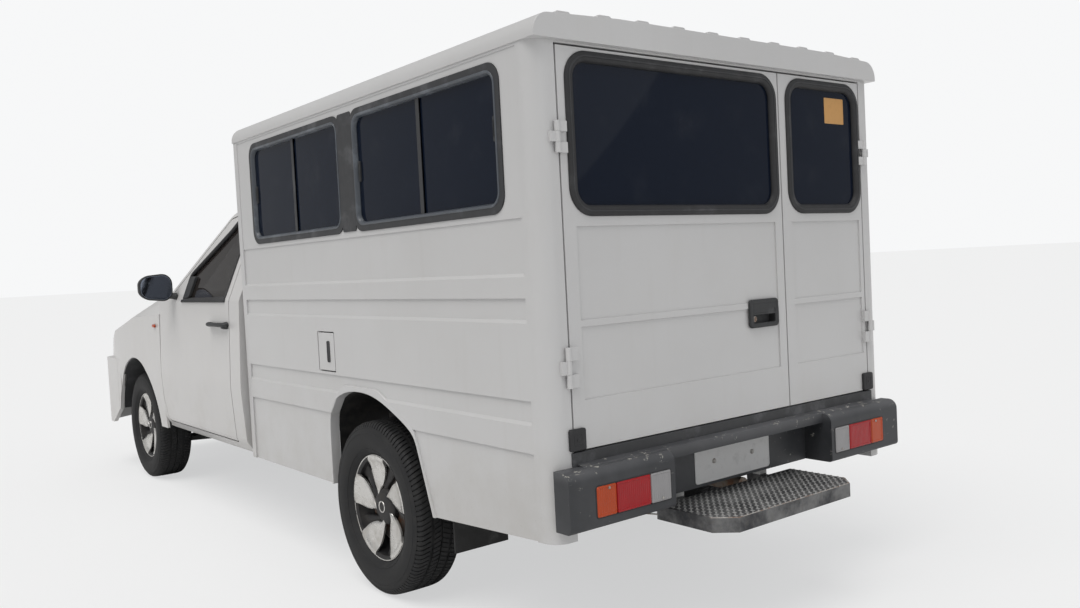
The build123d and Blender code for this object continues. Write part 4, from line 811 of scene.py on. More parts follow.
sillSettings = {
    "strip": (-0.77, 0.77, 0.602, 0.6725), "stopLow": 0.676, "stopHigh": 0.742, "stopIn": 0.716, "stopOut": 0.778,
    "lipHalf": 0.752,
    "lip": [  # x from the rear face, z round the folded plate over the number plate
        (0.0, 0.6405), (-0.028, 0.633), (-0.031, 0.63), (-0.031, 0.596), (-0.027, 0.596), (-0.027, 0.627),
        (-0.024, 0.629), (0.0, 0.635),
    ],
    "stripRise": [(0.0, -0.004), (0.0, 0.004), (0.0016, 0.0062), (0.004, 0.0066)],
    "block": [(0.0, 0.0), (0.0, 0.008), (0.002, 0.01), (0.005, 0.0106)], "blockCorner": 0.007,
    "dish": [(0.0, 0.0098), (0.0, 0.0112), (-0.003, 0.0118), (-0.006, 0.0098)], "dishInset": 0.014, "dishCorner": 0.008,
    "bolt": [(0.001, 0.0098), (0.006, 0.0098), (0.006, 0.0116), (0.004, 0.0122), (0.0008, 0.0123)],
}


def sillAndStops(s):
    lipRings = []
    for y in np.linspace(-s["lipHalf"], s["lipHalf"], 9):
        lipRings.append([(boxRearX + dx, y, z) for dx, z in s["lip"]])
    meshObject("bumperLip", *capped(np.array(lipRings)), "bumperBlack", "root", "bumper_black", flat=True)
    strip = slab(s["strip"], 0.004, s["stripRise"], rearPlane)
    meshObject("rearSillStrip", *strip, "windowFrame", flat=True)
    for hand, side in sides:
        y = sorted((hand * s["stopIn"], hand * s["stopOut"]))
        box = (y[0], y[1], s["stopLow"], s["stopHigh"])
        block = slab(box, s["blockCorner"], s["block"], rearPlane)
        inset = s["dishInset"]
        dish = frameLoop((y[0] + inset, y[1] - inset, s["stopLow"] + inset, s["stopHigh"] - inset), s["dishCorner"],
                         s["dish"], rearPlane)
        bolt = turned(s["bolt"], (boxRearX, (y[0] + y[1]) / 2, (s["stopLow"] + s["stopHigh"]) / 2), (-1, 0, 0), 18)
        meshObject(f"doorStop_{side}", *joined(block, dish, bolt), "sealRubber", f"rear_door_{side}", flat=True)


sillAndStops(sillSettings)

print("stage 5: bumper, lamps, plates and step")

lampSettings = {
    "inner": 0.4305, "outer": 0.7395, "low": 0.4835, "high": 0.5765, "splits": (0.518, 0.66), "faceDepth": 0.0715,
    "backDepth": 0.055, "gap": 0.0008, "colours": ("lensClear", "lensRed", "lensAmber"),
    "screw": [(0.0005, 0.07), (0.0042, 0.07), (0.0042, 0.0722), (0.003, 0.073), (0.0005, 0.0726)],
    "screwsY": (0.47, 0.69), "screwInset": 0.01,
    "rim": [(-0.0006, 0.055), (-0.0006, 0.069), (0.0022, 0.0695), (0.003, 0.068), (0.003, 0.055)],
}


def tailLamps(s):
    # each lens is a crowned pad with a groove round its face
    back, face = s["backDepth"], s["faceDepth"]
    profile = [(0.0, back), (0.0, face - 0.004), (0.0015, face - 0.0012), (0.005, face), (0.007, face),
               (0.008, face - 0.0012), (0.01, face - 0.0012)]
    ends = (s["inner"], *s["splits"], s["outer"])
    for hand, side in sides:
        parts, marks = [], []
        for index, (low, high) in enumerate(zip(ends, ends[1:])):
            y = sorted((hand * low, hand * high))
            part = slab((y[0] + s["gap"], y[1] - s["gap"], s["low"], s["high"]), 0.006, profile, rearPlane)
            parts.append(part)
            marks.append(np.full(len(part[1]), index))
        lens = meshObject(f"tailLens_{side}", *joined(*parts), s["colours"][0], "root", "lamp_lens", flat=True,
                          marks=np.concatenate(marks), more=s["colours"][1:])
        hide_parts("tail_lamps")
        y = sorted((hand * s["inner"], hand * s["outer"]))
        rim = frameLoop((y[0], y[1], s["low"], s["high"]), 0.008, s["rim"], rearPlane)
        screws = [turned(s["screw"], (boxRearX, hand * y, z), (-1, 0, 0), 16)
                  for y, z in zip(s["screwsY"], (s["low"] + s["screwInset"], s["high"] - s["screwInset"]))]
        meshObject(f"tailLampRim_{side}", *rim, "sealRubber", flat=True)
        meshObject(f"tailLampScrews_{side}", *joined(*screws), "zincSteel")


plateSettings = {
    "x": rearAxleX - 1.052, "z": 0.532, "width": 0.39, "height": 0.14, "corner": 0.012,
    "sheet": [(0.0, 0.0003), (0.0, 0.0016), (0.001, 0.0026), (0.004, 0.0028), (0.0055, 0.0018), (0.007, 0.0016)],
    "boltY": 0.1, "boltZ": 0.53,
    "bolt": [(0.0005, 0.001), (0.009, 0.001), (0.009, 0.0026), (0.0062, 0.0028), (0.006, 0.0064), (0.005, 0.0074),
             (0.0005, 0.0074)],
}


def numberPlate(s):
    box = (-s["width"] / 2, s["width"] / 2, s["z"] - s["height"] / 2, s["z"] + s["height"] / 2)
    sheet = slab(box, s["corner"], s["sheet"], facing(s["x"], -1))
    meshObject("rearPlateSheet", *sheet, "plateBlank", "root", "body_paint", flat=True)
    bolts = [turned(s["bolt"], (s["x"], hand * s["boltY"], s["boltZ"]), (-1, 0, 0), 20) for hand in (1, -1)]
    meshObject("rearPlateBolts", *joined(*bolts), "zincSteel", "root", "chassis_black")


tailLamps(lampSettings)
numberPlate(plateSettings)

stepSettings = {
    "rear": rearAxleX - 1.3165, "front": rearAxleX - 1.03, "half": 0.3485, "chamfer": 0.06, "top": 0.4205,
    "rows": 132, "columns": 320, "pitch": 0.027, "rise": 0.0024, "long": 0.44, "wide": 0.19, "edgeRadius": 0.003,
}


def chequerPlate(s):
    # Grid over the step: y runs to the chamfered edge. Each cell has one raised lozenge, turned a quarter turn in
    # every other cell, whose height is the root of 1 - (u / long)^2 - (v / wide)^2 where that is above 0.
    x = np.linspace(s["rear"], s["front"], s["rows"])
    half = s["half"] - np.clip(s["chamfer"] - (x - s["rear"]), 0, None)
    t = np.linspace(-1, 1, s["columns"])
    y = half[:, None] * t[None, :]
    x = np.repeat(x[:, None], s["columns"], axis=1)
    u, v = (x + y) / s["pitch"], (x - y) / s["pitch"]
    cell = (np.floor(u) + np.floor(v)) % 2
    du, dv = u % 1 - 0.5, v % 1 - 0.5
    longWay, shortWay = np.where(cell > 0, du, dv), np.where(cell > 0, dv, du)
    bump = np.clip(1 - (longWay / s["long"]) ** 2 - (shortWay / s["wide"]) ** 2, 0, 1)
    z = s["top"] + s["rise"] * np.sqrt(bump)
    plate = sheetSolid(np.stack([x, y, z], axis=-1), (0, 0, 0.003))
    meshObject("stepChequer", *plate, "treadPlate", "root", "tread_plate")
    front, rear, wide, cut = s["front"], s["rear"], s["half"], s["chamfer"]
    corners = [(front, -wide), (rear + cut, -wide), (rear, cut - wide), (rear, wide - cut), (rear + cut, wide),
               (front, wide)]
    path = np.array([(cx, cy, s["top"] - 0.0015) for cx, cy in corners])
    dense = np.concatenate([np.linspace(p, q, 12, endpoint=False) for p, q in zip(path, path[1:])] + [path[-1:]])
    meshObject("stepEdge", *tube(dense, s["edgeRadius"], 8), "zincSteel", "root", "tread_plate")


chequerPlate(stepSettings)

print("stage 6: cab outside")

cabSide = {"z": (0.44, 0.7, 1.128, 1.575, 1.664), "y": (0.858, 0.874, 0.856, 0.668, 0.56)}


def cabY(z):
    return np.interp(z, cabSide["z"], cabSide["y"])


def cabPlane(hand):
    # lies on the cab's side: y follows the height, depth runs outwards
    return lambda a, b, depth: np.stack([a, hand * (cabY(b) + depth), b], axis=-1)


def sweptLoop(corners, profile, plane, count):
    # closed strip round any convex outline, its points spread by length, with the section (offset, depth)
    path = np.array(list(corners) + [corners[0]], float)
    length = np.concatenate([[0], np.cumsum(np.linalg.norm(np.diff(path, axis=0), axis=1))])
    at = np.linspace(0, length[-1], count, endpoint=False)
    a, b = np.interp(at, length, path[:, 0]), np.interp(at, length, path[:, 1])
    for _ in range(4):
        a, b = (np.roll(a, 1) + 2 * a + np.roll(a, -1)) / 4, (np.roll(b, 1) + 2 * b + np.roll(b, -1)) / 4
    da, db = np.roll(a, -1) - np.roll(a, 1), np.roll(b, -1) - np.roll(b, 1)
    size = np.hypot(da, db)
    turn = 1 if np.sum(a * np.roll(b, -1) - b * np.roll(a, -1)) > 0 else -1
    na, nb = turn * db / size, -turn * da / size
    rings = np.stack([plane(a + na * offset, b + nb * offset, depth) for offset, depth in profile])
    return outward(rings.reshape(-1, 3), gridFaces(rings.shape[0], count, closeRows=True, closeColumns=True))


cabWindowSettings = {
    "corners": ((0.087, 1.14), (0.725, 1.136), (0.735, 1.27), (0.325, 1.49), (0.245, 1.548), (0.087, 1.555)),
    "frame": [(0.01, 0.0004), (0.01, 0.0035), (0.004, 0.005), (-0.004, 0.004), (-0.01, -0.006), (-0.01, -0.016),
              (0.0, -0.016)],
    "belt": (0.075, 0.745, 1.122, 1.138), "corner": 0.005, "sail": (0.65, 0.726, 1.146, 1.262), "sailCorner": 0.012,
    "beltRise": [(0.0, 0.0), (0.0, 0.005), (0.002, 0.0075), (0.005, 0.0082)],
    "sailRise": [(0.0, -0.012), (0.0, 0.002), (0.004, 0.006)],
}


def cabDoorTrim(s, hand, side):
    body = f"cab_door_{side}"
    plane = cabPlane(hand)
    parts = [sweptLoop(s["corners"], s["frame"], plane, 240), slab(s["belt"], s["corner"], s["beltRise"], plane)]
    meshObject(f"cabWindowTrim_{side}", *joined(*parts), "sealRubber", body)
    sail = slab(s["sail"], s["sailCorner"], s["sailRise"], plane)
    meshObject(f"mirrorSail_{side}", *sail, "blackPlastic", body, flat=True)


mirrorSettings = {
    "x": frontAxleX - 0.865, "box": (0.868, 1.05, 1.13, 1.286), "corner": 0.058, "taper": 0.24,
    "housing": [  # inset, distance forward of the rear edge
        (0.004, 0.001), (0.0005, 0.006), (0.0, 0.02), (0.003, 0.042), (0.01, 0.06), (0.022, 0.074), (0.038, 0.083),
        (0.05, 0.086),
    ],
    "foot": ((0.88, 0.955, 1.172), (0.872, 0.915, 1.166), (0.866, 0.88, 1.16), (0.862, 0.846, 1.156)),
    "footRadius": (0.026, 0.021, 0.02, 0.026), "glass": [(0.009, -0.002), (0.009, -0.0008), (0.01, -0.0004)],
    "rim": [(-0.004, 0.0), (-0.0045, -0.0015), (-0.008, -0.002), (-0.01, -0.004), (-0.006, -0.005)],
}


def doorMirror(s, hand, side):
    # the housing is tallest next to the door and tapers outwards
    aLow, aHigh, bLow, bHigh = s["box"]
    middle = (bLow + bHigh) / 2

    def plane(a, b, depth):
        out = np.clip((a - aLow) / (aHigh - aLow), 0, 1)
        z = middle + (b - middle) * (1 - s["taper"] * out ** 2) + 0.004 * out
        return np.stack([np.full_like(a, s["x"] - depth), hand * a, z], axis=-1)
    rim = frameLoop(s["box"], s["corner"], s["rim"], plane, 10)
    shell = slab(s["box"], s["corner"], [(inset, -forward) for inset, forward in s["housing"]], plane, 10)
    foot = tube([(x, hand * y, z) for x, y, z in sampled(s["foot"], 16)],
                sampled([(r, 0.0) for r in s["footRadius"]], 16)[:, 0], 14, 0.8)
    glass = slab(s["box"], s["corner"], s["glass"], plane, 10)
    meshObject(f"mirrorRim_{side}", *rim, "sealRubber", f"cab_door_{side}")
    meshObject(f"mirrorGlass_{side}", *glass, "mirrorGlass", f"cab_door_{side}", "clear_glass", flat=True)
    return [shell, foot]


pullSettings = {
    "rear": frontAxleX - 1.679, "front": frontAxleX - 1.414, "z": 1.011,
    "path": [  # x from the rear end, distance out from the skin
        (0.008, 0.0), (0.014, 0.014), (0.045, 0.022), (0.11, 0.025), (0.175, 0.022), (0.235, 0.013), (0.257, -0.002),
    ],
    "radius": (0.014, 0.019, 0.0185, 0.0165, 0.017, 0.0195, 0.012), "lock": (0.02, 0.015),
}


def doorPull(s, hand):
    points = sampled([(s["rear"] + x, out, s["z"]) for x, out in s["path"]], 40)
    radius = sampled([(r, 0.0) for r in s["radius"]], 40)[:, 0]
    path = np.stack([points[:, 0], hand * (cabY(points[:, 2]) + points[:, 1]), points[:, 2]], axis=-1)
    away, r = s["lock"]
    spot = (s["rear"] + away, hand * cabY(s["z"] - 0.004), s["z"] - 0.004)
    lock = turned([(r * 1.25, -0.004), (r * 1.25, 0.006), (r, 0.026), (r * 0.8, 0.03), (0.0005, 0.031)], spot,
                  (0, hand, 0), 28)
    return [tube(path, radius, 16, 0.62), lock]


markerSettings = {
    "box": (1.225, 1.268, 0.972, 0.992), "corner": 0.008, "skin": 0.8725,
    "rise": [(0.0, -0.003), (0.0, 0.002), (0.002, 0.005), (0.006, 0.0064)],
}


def sideMarker(s, hand, side):
    lens = slab(s["box"], s["corner"], s["rise"], sidePlane(hand, s["skin"]))
    meshObject(f"sideMarker_{side}", *lens, "lensAmber", "root", "lamp_lens", flat=True)


for hand, side in sides:
    cabDoorTrim(cabWindowSettings, hand, side)
    fittings = doorMirror(mirrorSettings, hand, side) + doorPull(pullSettings, hand)
    fitted = meshObject(f"doorFittings_{side}", *joined(*fittings), "blackPlastic", f"cab_door_{side}")
    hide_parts(f"door_fittings_{side}")
    sideMarker(markerSettings, hand, side)

screenSettings = {
    "base": (frontAxleX - 0.285, 1.12), "head": (frontAxleX - 1.215, 1.64), "curve": 2.1,
    "halfLow": 0.705, "halfHigh": 0.57, "frit": (-0.985, 0.985, 0.075, 0.975),
    "wipers": ((-0.1, 0.78), (-0.92, -0.06)), "bladeRadius": 0.0045, "armRadius": 0.0065,
    "border": [(0.0, -0.0095), (-0.02, -0.009), (-0.05, -0.009), (-0.052, -0.0098)],
    "pivot": [(0.001, 0.0), (0.016, 0.0), (0.016, 0.02), (0.01, 0.028), (0.001, 0.029)], "pivotWay": (0.49, 0, 0.87),
}


def screenPlane(s):
    # a is the share of the half width, b the way up the glass in metres, depth the distance out of the skin
    baseX, baseZ = s["base"]
    span = np.array([s["head"][0] - baseX, s["head"][1] - baseZ])
    length = np.linalg.norm(span)
    slope = span / length
    normal = np.array([slope[1], -slope[0]])

    def plane(a, b, depth):
        y = a * (s["halfLow"] + (s["halfHigh"] - s["halfLow"]) * b / length)
        out = depth - (s["curve"] - np.sqrt(s["curve"] ** 2 - y ** 2))
        return np.stack([baseX + slope[0] * b + normal[0] * out, y, baseZ + slope[1] * b + normal[1] * out], axis=-1)
    return plane


def windscreenTrim(s):
    plane = screenPlane(s)
    frit = frameLoop(s["frit"], 0.04, s["border"], plane, 14)
    meshObject("screenBorder", *frit, "sealRubber")
    wipers = []
    for start, end in s["wipers"]:
        a = np.linspace(start, end, 40)
        b = 0.135 + 0.03 * (a - start) / (end - start)
        wipers.append(tube(plane(a, b, 0.004), s["bladeRadius"], 8))
        arm = np.linspace(0, 1, 24)
        bow = plane(start + (end - start) * arm * 0.5, 0.065 + 0.085 * arm, 0.012 + 0.01 * np.sin(pi * arm))
        wipers.append(tube(bow, s["armRadius"], 8))
        pivot = plane(np.array([start]), np.array([0.06]), 0.0)[0]
        wipers.append(turned(s["pivot"], pivot, s["pivotWay"], 18))
    meshObject("wipers", *joined(*wipers), "blackPlastic")


windscreenTrim(screenSettings)

print("stage 7: front end")

frontSettings = {
    "intake": (-0.4, 0.4, 0.34, 0.43), "bumperX": frontAxleX + 0.985, "fog": (0.56, 0.7, 0.42, 0.52),
    "fogX": frontAxleX + 0.903, "meshPitch": 0.024, "barRadius": 0.003, "fogWay": (0.91, 0.41), "fogSlope": 0.45,
    "pod": [(0.0005, -0.03), (0.046, -0.03), (0.066, -0.01), (0.066, 0.0), (0.048, 0.002), (0.044, -0.006),
            (0.0005, -0.006)],
    "lens": [(0.0005, -0.005), (0.042, -0.005), (0.042, 0.002), (0.036, 0.006), (0.02, 0.0085), (0.0005, 0.0092)],
    "cover": [(0.0, -0.004), (0.0, 0.0)], "coverEdge": 0.006, "coverBack": 0.03,
}


def frontTrim(s):
    inX = s["bumperX"] - 0.03
    low, high, zLow, zHigh = s["intake"]
    bars = []
    for y in np.arange(low + 0.012, high, s["meshPitch"]):
        bars.append(tube([(inX, y, zLow - 0.006), (inX + 0.001, y, (zLow + zHigh) / 2), (inX, y, zHigh + 0.006)],
                         s["barRadius"], 6))
    for z in np.arange(zLow + 0.009, zHigh, s["meshPitch"] * 0.75):
        bars.append(tube([(inX, low - 0.006, z), (inX + 0.001, 0.0, z), (inX, high + 0.006, z)], s["barRadius"], 6))
    bars.append(slab((low - 0.01, high + 0.01, zLow - 0.01, zHigh + 0.01), 0.01, [(0.0, -0.012), (0.0, -0.008)],
                     facing(inX, 1)))
    meshObject("intakeMesh", *joined(*bars), "blackPlastic", flat=True)
    for hand, side in sides:
        yMid = hand * (s["fog"][0] + s["fog"][1]) / 2
        zMid = (s["fog"][2] + s["fog"][3]) / 2
        way = (s["fogWay"][0], hand * s["fogWay"][1], 0.0)
        centre = (s["fogX"], yMid, zMid)
        pod, lens = (turned(s[name], centre, way, 40) for name in ("pod", "lens"))
        slope = s["fogSlope"] * hand
        back = lambda a, b, depth: np.stack([s["fogX"] - s["coverBack"] + depth - slope * (a - yMid), a, b], axis=-1)
        edge = s["coverEdge"]
        y = sorted((hand * (s["fog"][0] - edge), hand * (s["fog"][1] + edge)))
        cover = slab((y[0], y[1], s["fog"][2] - edge, s["fog"][3] + edge), 0.008, s["cover"], back)
        meshObject(f"fogPod_{side}", *joined(pod, cover), "blackPlastic")
        meshObject(f"fogLens_{side}", *lens, "headLens", "root", "head_lens")


frontTrim(frontSettings)

print("stage 8: cab inside")

ringSettings = {
    "centre": (dashRearX - 0.11, driverY, 1.01), "tilt": 28.0, "ring": 0.173, "rim": 0.0135, "grip": 0.12,
    "pad": (-0.072, 0.072, -0.062, 0.056), "padCorner": 0.03,
    "padRise": [(0.01, -0.02), (0.0, -0.004), (0.003, 0.012), (0.016, 0.02), (0.04, 0.024)],
    "spokes": (8, 172, 270), "spokeFrom": 0.05, "spokeRadius": (0.022, 0.011), "spokeSquash": 0.45,
    "columnRadius": (0.026, 0.026, 0.027, 0.03, 0.034, 0.036, 0.036, 0.03), "columnEnds": (-0.22, -0.01),
}


def steeringRing(s):
    # ring of a round rim with a wider grip at both sides, three spokes and a padded middle, turned to the column
    tilt = np.radians(s["tilt"])
    axis = np.array([-cos(tilt), 0.0, sin(tilt)])
    up = np.array([sin(tilt), 0.0, cos(tilt)])
    across = np.array([0.0, 1.0, 0.0])
    centre = np.array(s["centre"])

    def place(a, b, depth):
        return centre + np.asarray(a)[..., None] * across + np.asarray(b)[..., None] * up + depth * axis
    angle = np.linspace(0, 2 * pi, 97)[:-1]
    thick = s["rim"] * (1 + s["grip"] * np.cos(2 * angle))
    around = np.linspace(0, 2 * pi, 14, endpoint=False)
    radial = np.cos(angle)[:, None] * across + np.sin(angle)[:, None] * up
    points = (centre + s["ring"] * radial)[:, None, :] + thick[:, None, None] * (
        np.cos(around)[None, :, None] * radial[:, None, :] + np.sin(around)[None, :, None] * axis[None, None, :])
    rim = outward(points.reshape(-1, 3), gridFaces(96, 14, closeRows=True, closeColumns=True))
    parts = [rim, slab(s["pad"], s["padCorner"], s["padRise"], place, 10)]
    for degrees in s["spokes"]:
        turn = np.radians(degrees)
        reach = np.linspace(s["spokeFrom"], s["ring"], 12)
        path = place(reach * cos(turn), reach * sin(turn), 0.004)
        parts.append(tube(path, np.linspace(*s["spokeRadius"], 12), 12, s["spokeSquash"]))
    column = [centre + axis * d for d in np.linspace(*s["columnEnds"], len(s["columnRadius"]))]
    parts.append(tube(np.array(column), np.array(s["columnRadius"]), 20))
    item = meshObject("steeringRing", *joined(*parts), "dashPlastic")
    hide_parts("steering_wheel")


dashSettings = {
    "rear": dashRearX, "top": 1.068, "ventZ": (0.93, 0.985), "slatZ": (0.94, 0.976),
    "vents": ((0.6, 0.73), (0.02, 0.15), (-0.15, -0.02), (-0.73, -0.6)), "panel": (-0.12, 0.12, 0.845, 0.915),
    "ventRim": [(0.0, -0.004), (0.0, 0.006), (-0.004, 0.008), (-0.007, 0.002), (-0.007, -0.004)],
    "panelRim": [(0.0, -0.004), (0.0, 0.004), (-0.004, 0.005), (-0.006, 0.0), (-0.006, -0.004)],
    "knobs": (-0.07, 0.0, 0.07), "knobZ": 0.835, "knob": [(0.0005, 0.0), (0.017, 0.0), (0.015, 0.016), (0.012, 0.019),
                                                          (0.0005, 0.019)],
    "hoodY": driverY, "hoodFront": 0.03, "hoodDeep": 0.12, "hoodFall": 0.055,
    "hoodSkins": ((0.185, 0.012, 0.07), (0.175, 0.018, 0.064)),  # half width, drop and height, outer and inner
    "slat": [(0.0, -0.004), (0.0, 0.003)], "slatHalf": 0.002, "slatInset": 0.008,
    "face": [(0.0, -0.004), (0.0, 0.0015)], "faceInset": 0.007, "knobBack": 0.03, "knobWay": (-1, 0, -0.3),
}


def dashTrim(s):
    plane = lambda a, b, depth: np.stack([s["rear"] + 0.006 - depth + 0.3 * np.clip(0.96 - b, 0, 1), a, b], axis=-1)
    vents, dark = [], []
    for low, high in s["vents"]:
        vents.append(frameLoop((low, high, *s["ventZ"]), 0.01, s["ventRim"], plane))
        for z in np.linspace(*s["slatZ"], 4):
            slat = (low + s["slatInset"], high - s["slatInset"], z - s["slatHalf"], z + s["slatHalf"])
            dark.append(slab(slat, 0.001, s["slat"], plane))
    vents.append(frameLoop(s["panel"], 0.006, s["panelRim"], plane))
    yLow, yHigh, zLow, zHigh = s["panel"]
    inset = s["faceInset"]
    dark.append(slab((yLow + inset, yHigh - inset, zLow + inset, zHigh - inset), 0.004, s["face"], plane))
    knobs = [turned(s["knob"], (s["rear"] + s["knobBack"], y, s["knobZ"]), s["knobWay"], 24) for y in s["knobs"]]
    hood = []
    angle = np.linspace(0, pi, 15)
    for share in np.linspace(0, 1, 8):
        x = s["rear"] + s["hoodFront"] + s["hoodDeep"] * share
        outer, inner = (np.stack([np.full(15, x), s["hoodY"] + wide * np.cos(angle),
                                  s["top"] - drop + (tall - s["hoodFall"] * share) * np.sin(angle)], axis=-1)
                        for wide, drop, tall in s["hoodSkins"])
        hood.append(np.concatenate([outer, inner[::-1]]))
    meshObject("dashVents", *joined(*vents), "dashPlastic")
    meshObject("dashSlats", *joined(*dark, *knobs), "sealRubber", flat=True)
    meshObject("dashHood", *capped(np.array(hood)), "dashPlastic")


steeringRing(ringSettings)
dashTrim(dashSettings)

seatSettings = {
    "voxel": 0.013, "pressure": 4.0, "frames": 20, "cap": 0.014, "inset": 0.01, "corner": 0.045,
    "channels": (0.27, 0.73), "channelWidth": 0.018, "channelDepth": 0.01,
    "baseX": 0.165, "base": (-0.62, 0.62, 0.565, 0.712), "baseRise": [(0.0, 0.0), (0.0, 0.44), (0.01, 0.45)],
    "rods": (0.31, 0.41, -0.265, -0.365), "rod": ((0.055, 1.22), (0.05, 1.25), (0.046, 1.3)), "rodRadius": 0.006,
    "pads": [  # name, y low and high, x and z of the middle line's two ends, thickness
        {"name": "cushionDriver", "y": (0.095, 0.625), "from": (0.18, 0.775), "to": (0.64, 0.79), "thick": 0.12},
        {"name": "cushionPassenger", "y": (-0.625, 0.07), "from": (0.18, 0.775), "to": (0.64, 0.79), "thick": 0.12},
        {"name": "backDriver", "y": (0.11, 0.61), "from": (0.158, 0.85), "to": (0.07, 1.235), "thick": 0.105},
        {"name": "backPassenger", "y": (-0.61, 0.055), "from": (0.158, 0.85), "to": (0.07, 1.235), "thick": 0.105},
        {"name": "headDriver", "y": (0.235, 0.485), "from": (0.06, 1.268), "to": (0.043, 1.36), "thick": 0.08},
        {"name": "headPassenger", "y": (-0.44, -0.19), "from": (0.06, 1.268), "to": (0.043, 1.36), "thick": 0.08},
    ],
}


def softPad(s, pad):
    # rounded block along a sloping line, blown up by cloth pressure, with two sunk channels
    start, end = np.array(pad["from"]), np.array(pad["to"])
    way = (end - start) / np.linalg.norm(end - start)
    out = np.array([way[1], -way[0]]) if pad["name"].startswith(("back", "head")) else np.array([-way[1], way[0]])
    half = pad["thick"] / 2
    length = np.linalg.norm(end - start)
    inset = s["inset"]

    def plane(a, b, depth):
        spot = start[None, :] + b[:, None] * way + depth * out
        return np.stack([spot[:, 0], a, spot[:, 1]], axis=-1)
    box = (pad["y"][0] + inset, pad["y"][1] - inset, inset - 0.01, length - inset + 0.01)
    profile = [(0.03, -half + inset), (0.006, -half + 0.022), (0.0, 0.0), (0.006, half - 0.022), (0.03, half - inset)]
    points, faces = slab(box, s["corner"], profile, plane, 8)
    item = meshObject(pad["name"], points, faces, "seatCloth", "root", "seat_cover")
    bpy.context.view_layer.objects.active = item
    remesh = item.modifiers.new("remesh", "REMESH")
    remesh.mode = "VOXEL"
    remesh.voxel_size = s["voxel"]
    bpy.ops.object.modifier_apply(modifier="remesh")
    start0 = np.zeros(len(item.data.vertices) * 3)
    item.data.vertices.foreach_get("co", start0)
    cloth = item.modifiers.new("cloth", "CLOTH")
    cloth.settings.use_pressure = True
    cloth.settings.uniform_pressure_force = s["pressure"]
    cloth.settings.effector_weights.gravity = 0.0
    for frameNumber in range(1, s["frames"] + 1):
        bpy.context.scene.frame_set(frameNumber)
    bpy.ops.object.modifier_apply(modifier="cloth")
    swollen = np.zeros_like(start0)
    item.data.vertices.foreach_get("co", swollen)
    move = (swollen - start0).reshape(-1, 3)
    size = np.linalg.norm(move, axis=1)[:, None]
    move *= np.minimum(1.0, s["cap"] / np.maximum(size, 1e-9))
    moved = start0.reshape(-1, 3) + move
    bpy.context.scene.frame_set(1)
    across = (moved[:, 1] - pad["y"][0]) / (pad["y"][1] - pad["y"][0])
    spot = moved[:, [0, 2]] - start
    depth = spot @ out
    if not pad["name"].startswith("head"):
        channel = sum(np.exp(-((across - place) / s["channelWidth"]) ** 2) for place in s["channels"])
        sink = s["channelDepth"] * channel * (depth > 0)
        moved[:, 0] -= sink * out[0]
        moved[:, 2] -= sink * out[1]
    item.data.vertices.foreach_set("co", moved.ravel())
    item.data.polygons.foreach_set("use_smooth", np.full(len(item.data.polygons), True))
    item.data.update()
    rounder = item.modifiers.new("rounder", "SUBSURF")
    rounder.levels = rounder.render_levels = 1
    return item


def makeSeats(s):
    pads = [softPad(s, pad) for pad in s["pads"]]
    base = slab(s["base"], 0.02, s["baseRise"], facing(s["baseX"], 1))
    rods = [tube([(x, y, z) for x, z in s["rod"]], s["rodRadius"], 10) for y in s["rods"]]
    meshObject("seatBase", *joined(base, *rods), "dashPlastic", flat=True)
    for pad in pads:
        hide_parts("cab_seat")


makeSeats(seatSettings)

print("stage 9: arches, front details and softened edges")


def filleted(corners, radii, steps=9):
    # open outline with an arc at each inner corner
    p = np.array(corners, float)
    out = [p[:1]]
    for before, corner, after, radius in zip(p, p[1:], p[2:], radii):
        a = (before - corner) / np.linalg.norm(before - corner)
        b = (after - corner) / np.linalg.norm(after - corner)
        half = np.arccos(np.clip(a @ b, -1, 1)) / 2
        centre = corner + (a + b) / np.linalg.norm(a + b) * radius / np.sin(half)
        start, end = corner + a * radius / np.tan(half) - centre, corner + b * radius / np.tan(half) - centre
        t = np.linspace(0, 1, steps)[:, None]
        span = np.arccos(np.clip(start @ end / radius ** 2, -1, 1))
        out.append(centre + (np.sin((1 - t) * span) * start + np.sin(t * span) * end) / np.sin(span))
    out.append(p[-1:])
    return np.concatenate(out)


def evenly(path, count):
    length = np.concatenate([[0], np.cumsum(np.linalg.norm(np.diff(path, axis=0), axis=1))])
    at = np.linspace(0, length[-1], count)
    return np.stack([np.interp(at, length, path[:, 0]), np.interp(at, length, path[:, 1])], axis=1)


rearArchSettings = {
    "line": ((0.365, 0.374), (0.363, 0.64), (0.23, 0.794), (-0.06, 0.794), (-0.32, 0.671), (-0.436, 0.374)),
    "radii": (0.13, 0.09, 0.12, 0.06),
    "inner": ((0.352, 0.374), (0.351, 0.48), (0.349, 0.6), (0.336, 0.668), (0.3, 0.717), (0.25, 0.746),
              (0.18, 0.765), (0.09, 0.773), (0.0, 0.768), (-0.09, 0.748), (-0.18, 0.716), (-0.27, 0.676),
              (-0.322, 0.637), (-0.352, 0.57), (-0.385, 0.48), (-0.423, 0.374)),
    "lip": [  # share of the way from the inner curve to the wall, depth
        (1.0, -0.014), (1.0, -0.004), (0.9, 0.0006), (0.06, 0.0012), (0.0, -0.001), (0.0, -0.039), (0.12, -0.039),
        (0.14, -0.014),
    ],
    # dark wheelhouse lining behind the arch; its near-black also stands in as painted shade under the truck
    "lining": [(0.02, -0.041), (0.22, -0.041), (0.22, -0.27), (0.02, -0.27)],
}


def rearArch(s, hand, side):
    outer = evenly(filleted(s["line"], s["radii"]), 90) + (rearAxleX, 0)
    inner = evenly(sampled(s["inner"], 400), 90) + (rearAxleX, 0)
    plane = sidePlane(hand)
    # the lining is partly a real wheelhouse and partly a dark sheet for painted shade
    for name, profile, finish, slot in (("Lip", s["lip"], "bodyPaint", "body_paint"),
                                        ("Lining", s["lining"], "chassisBlack", "chassis_black")):
        rings = []
        for share, depth in profile:
            spot = inner + (outer - inner) * share
            rings.append(plane(spot[:, 0], spot[:, 1], depth))
        meshObject(f"rearArch{name}_{side}", *capped(np.stack(rings, axis=1)), finish, "root", slot, flat=True)


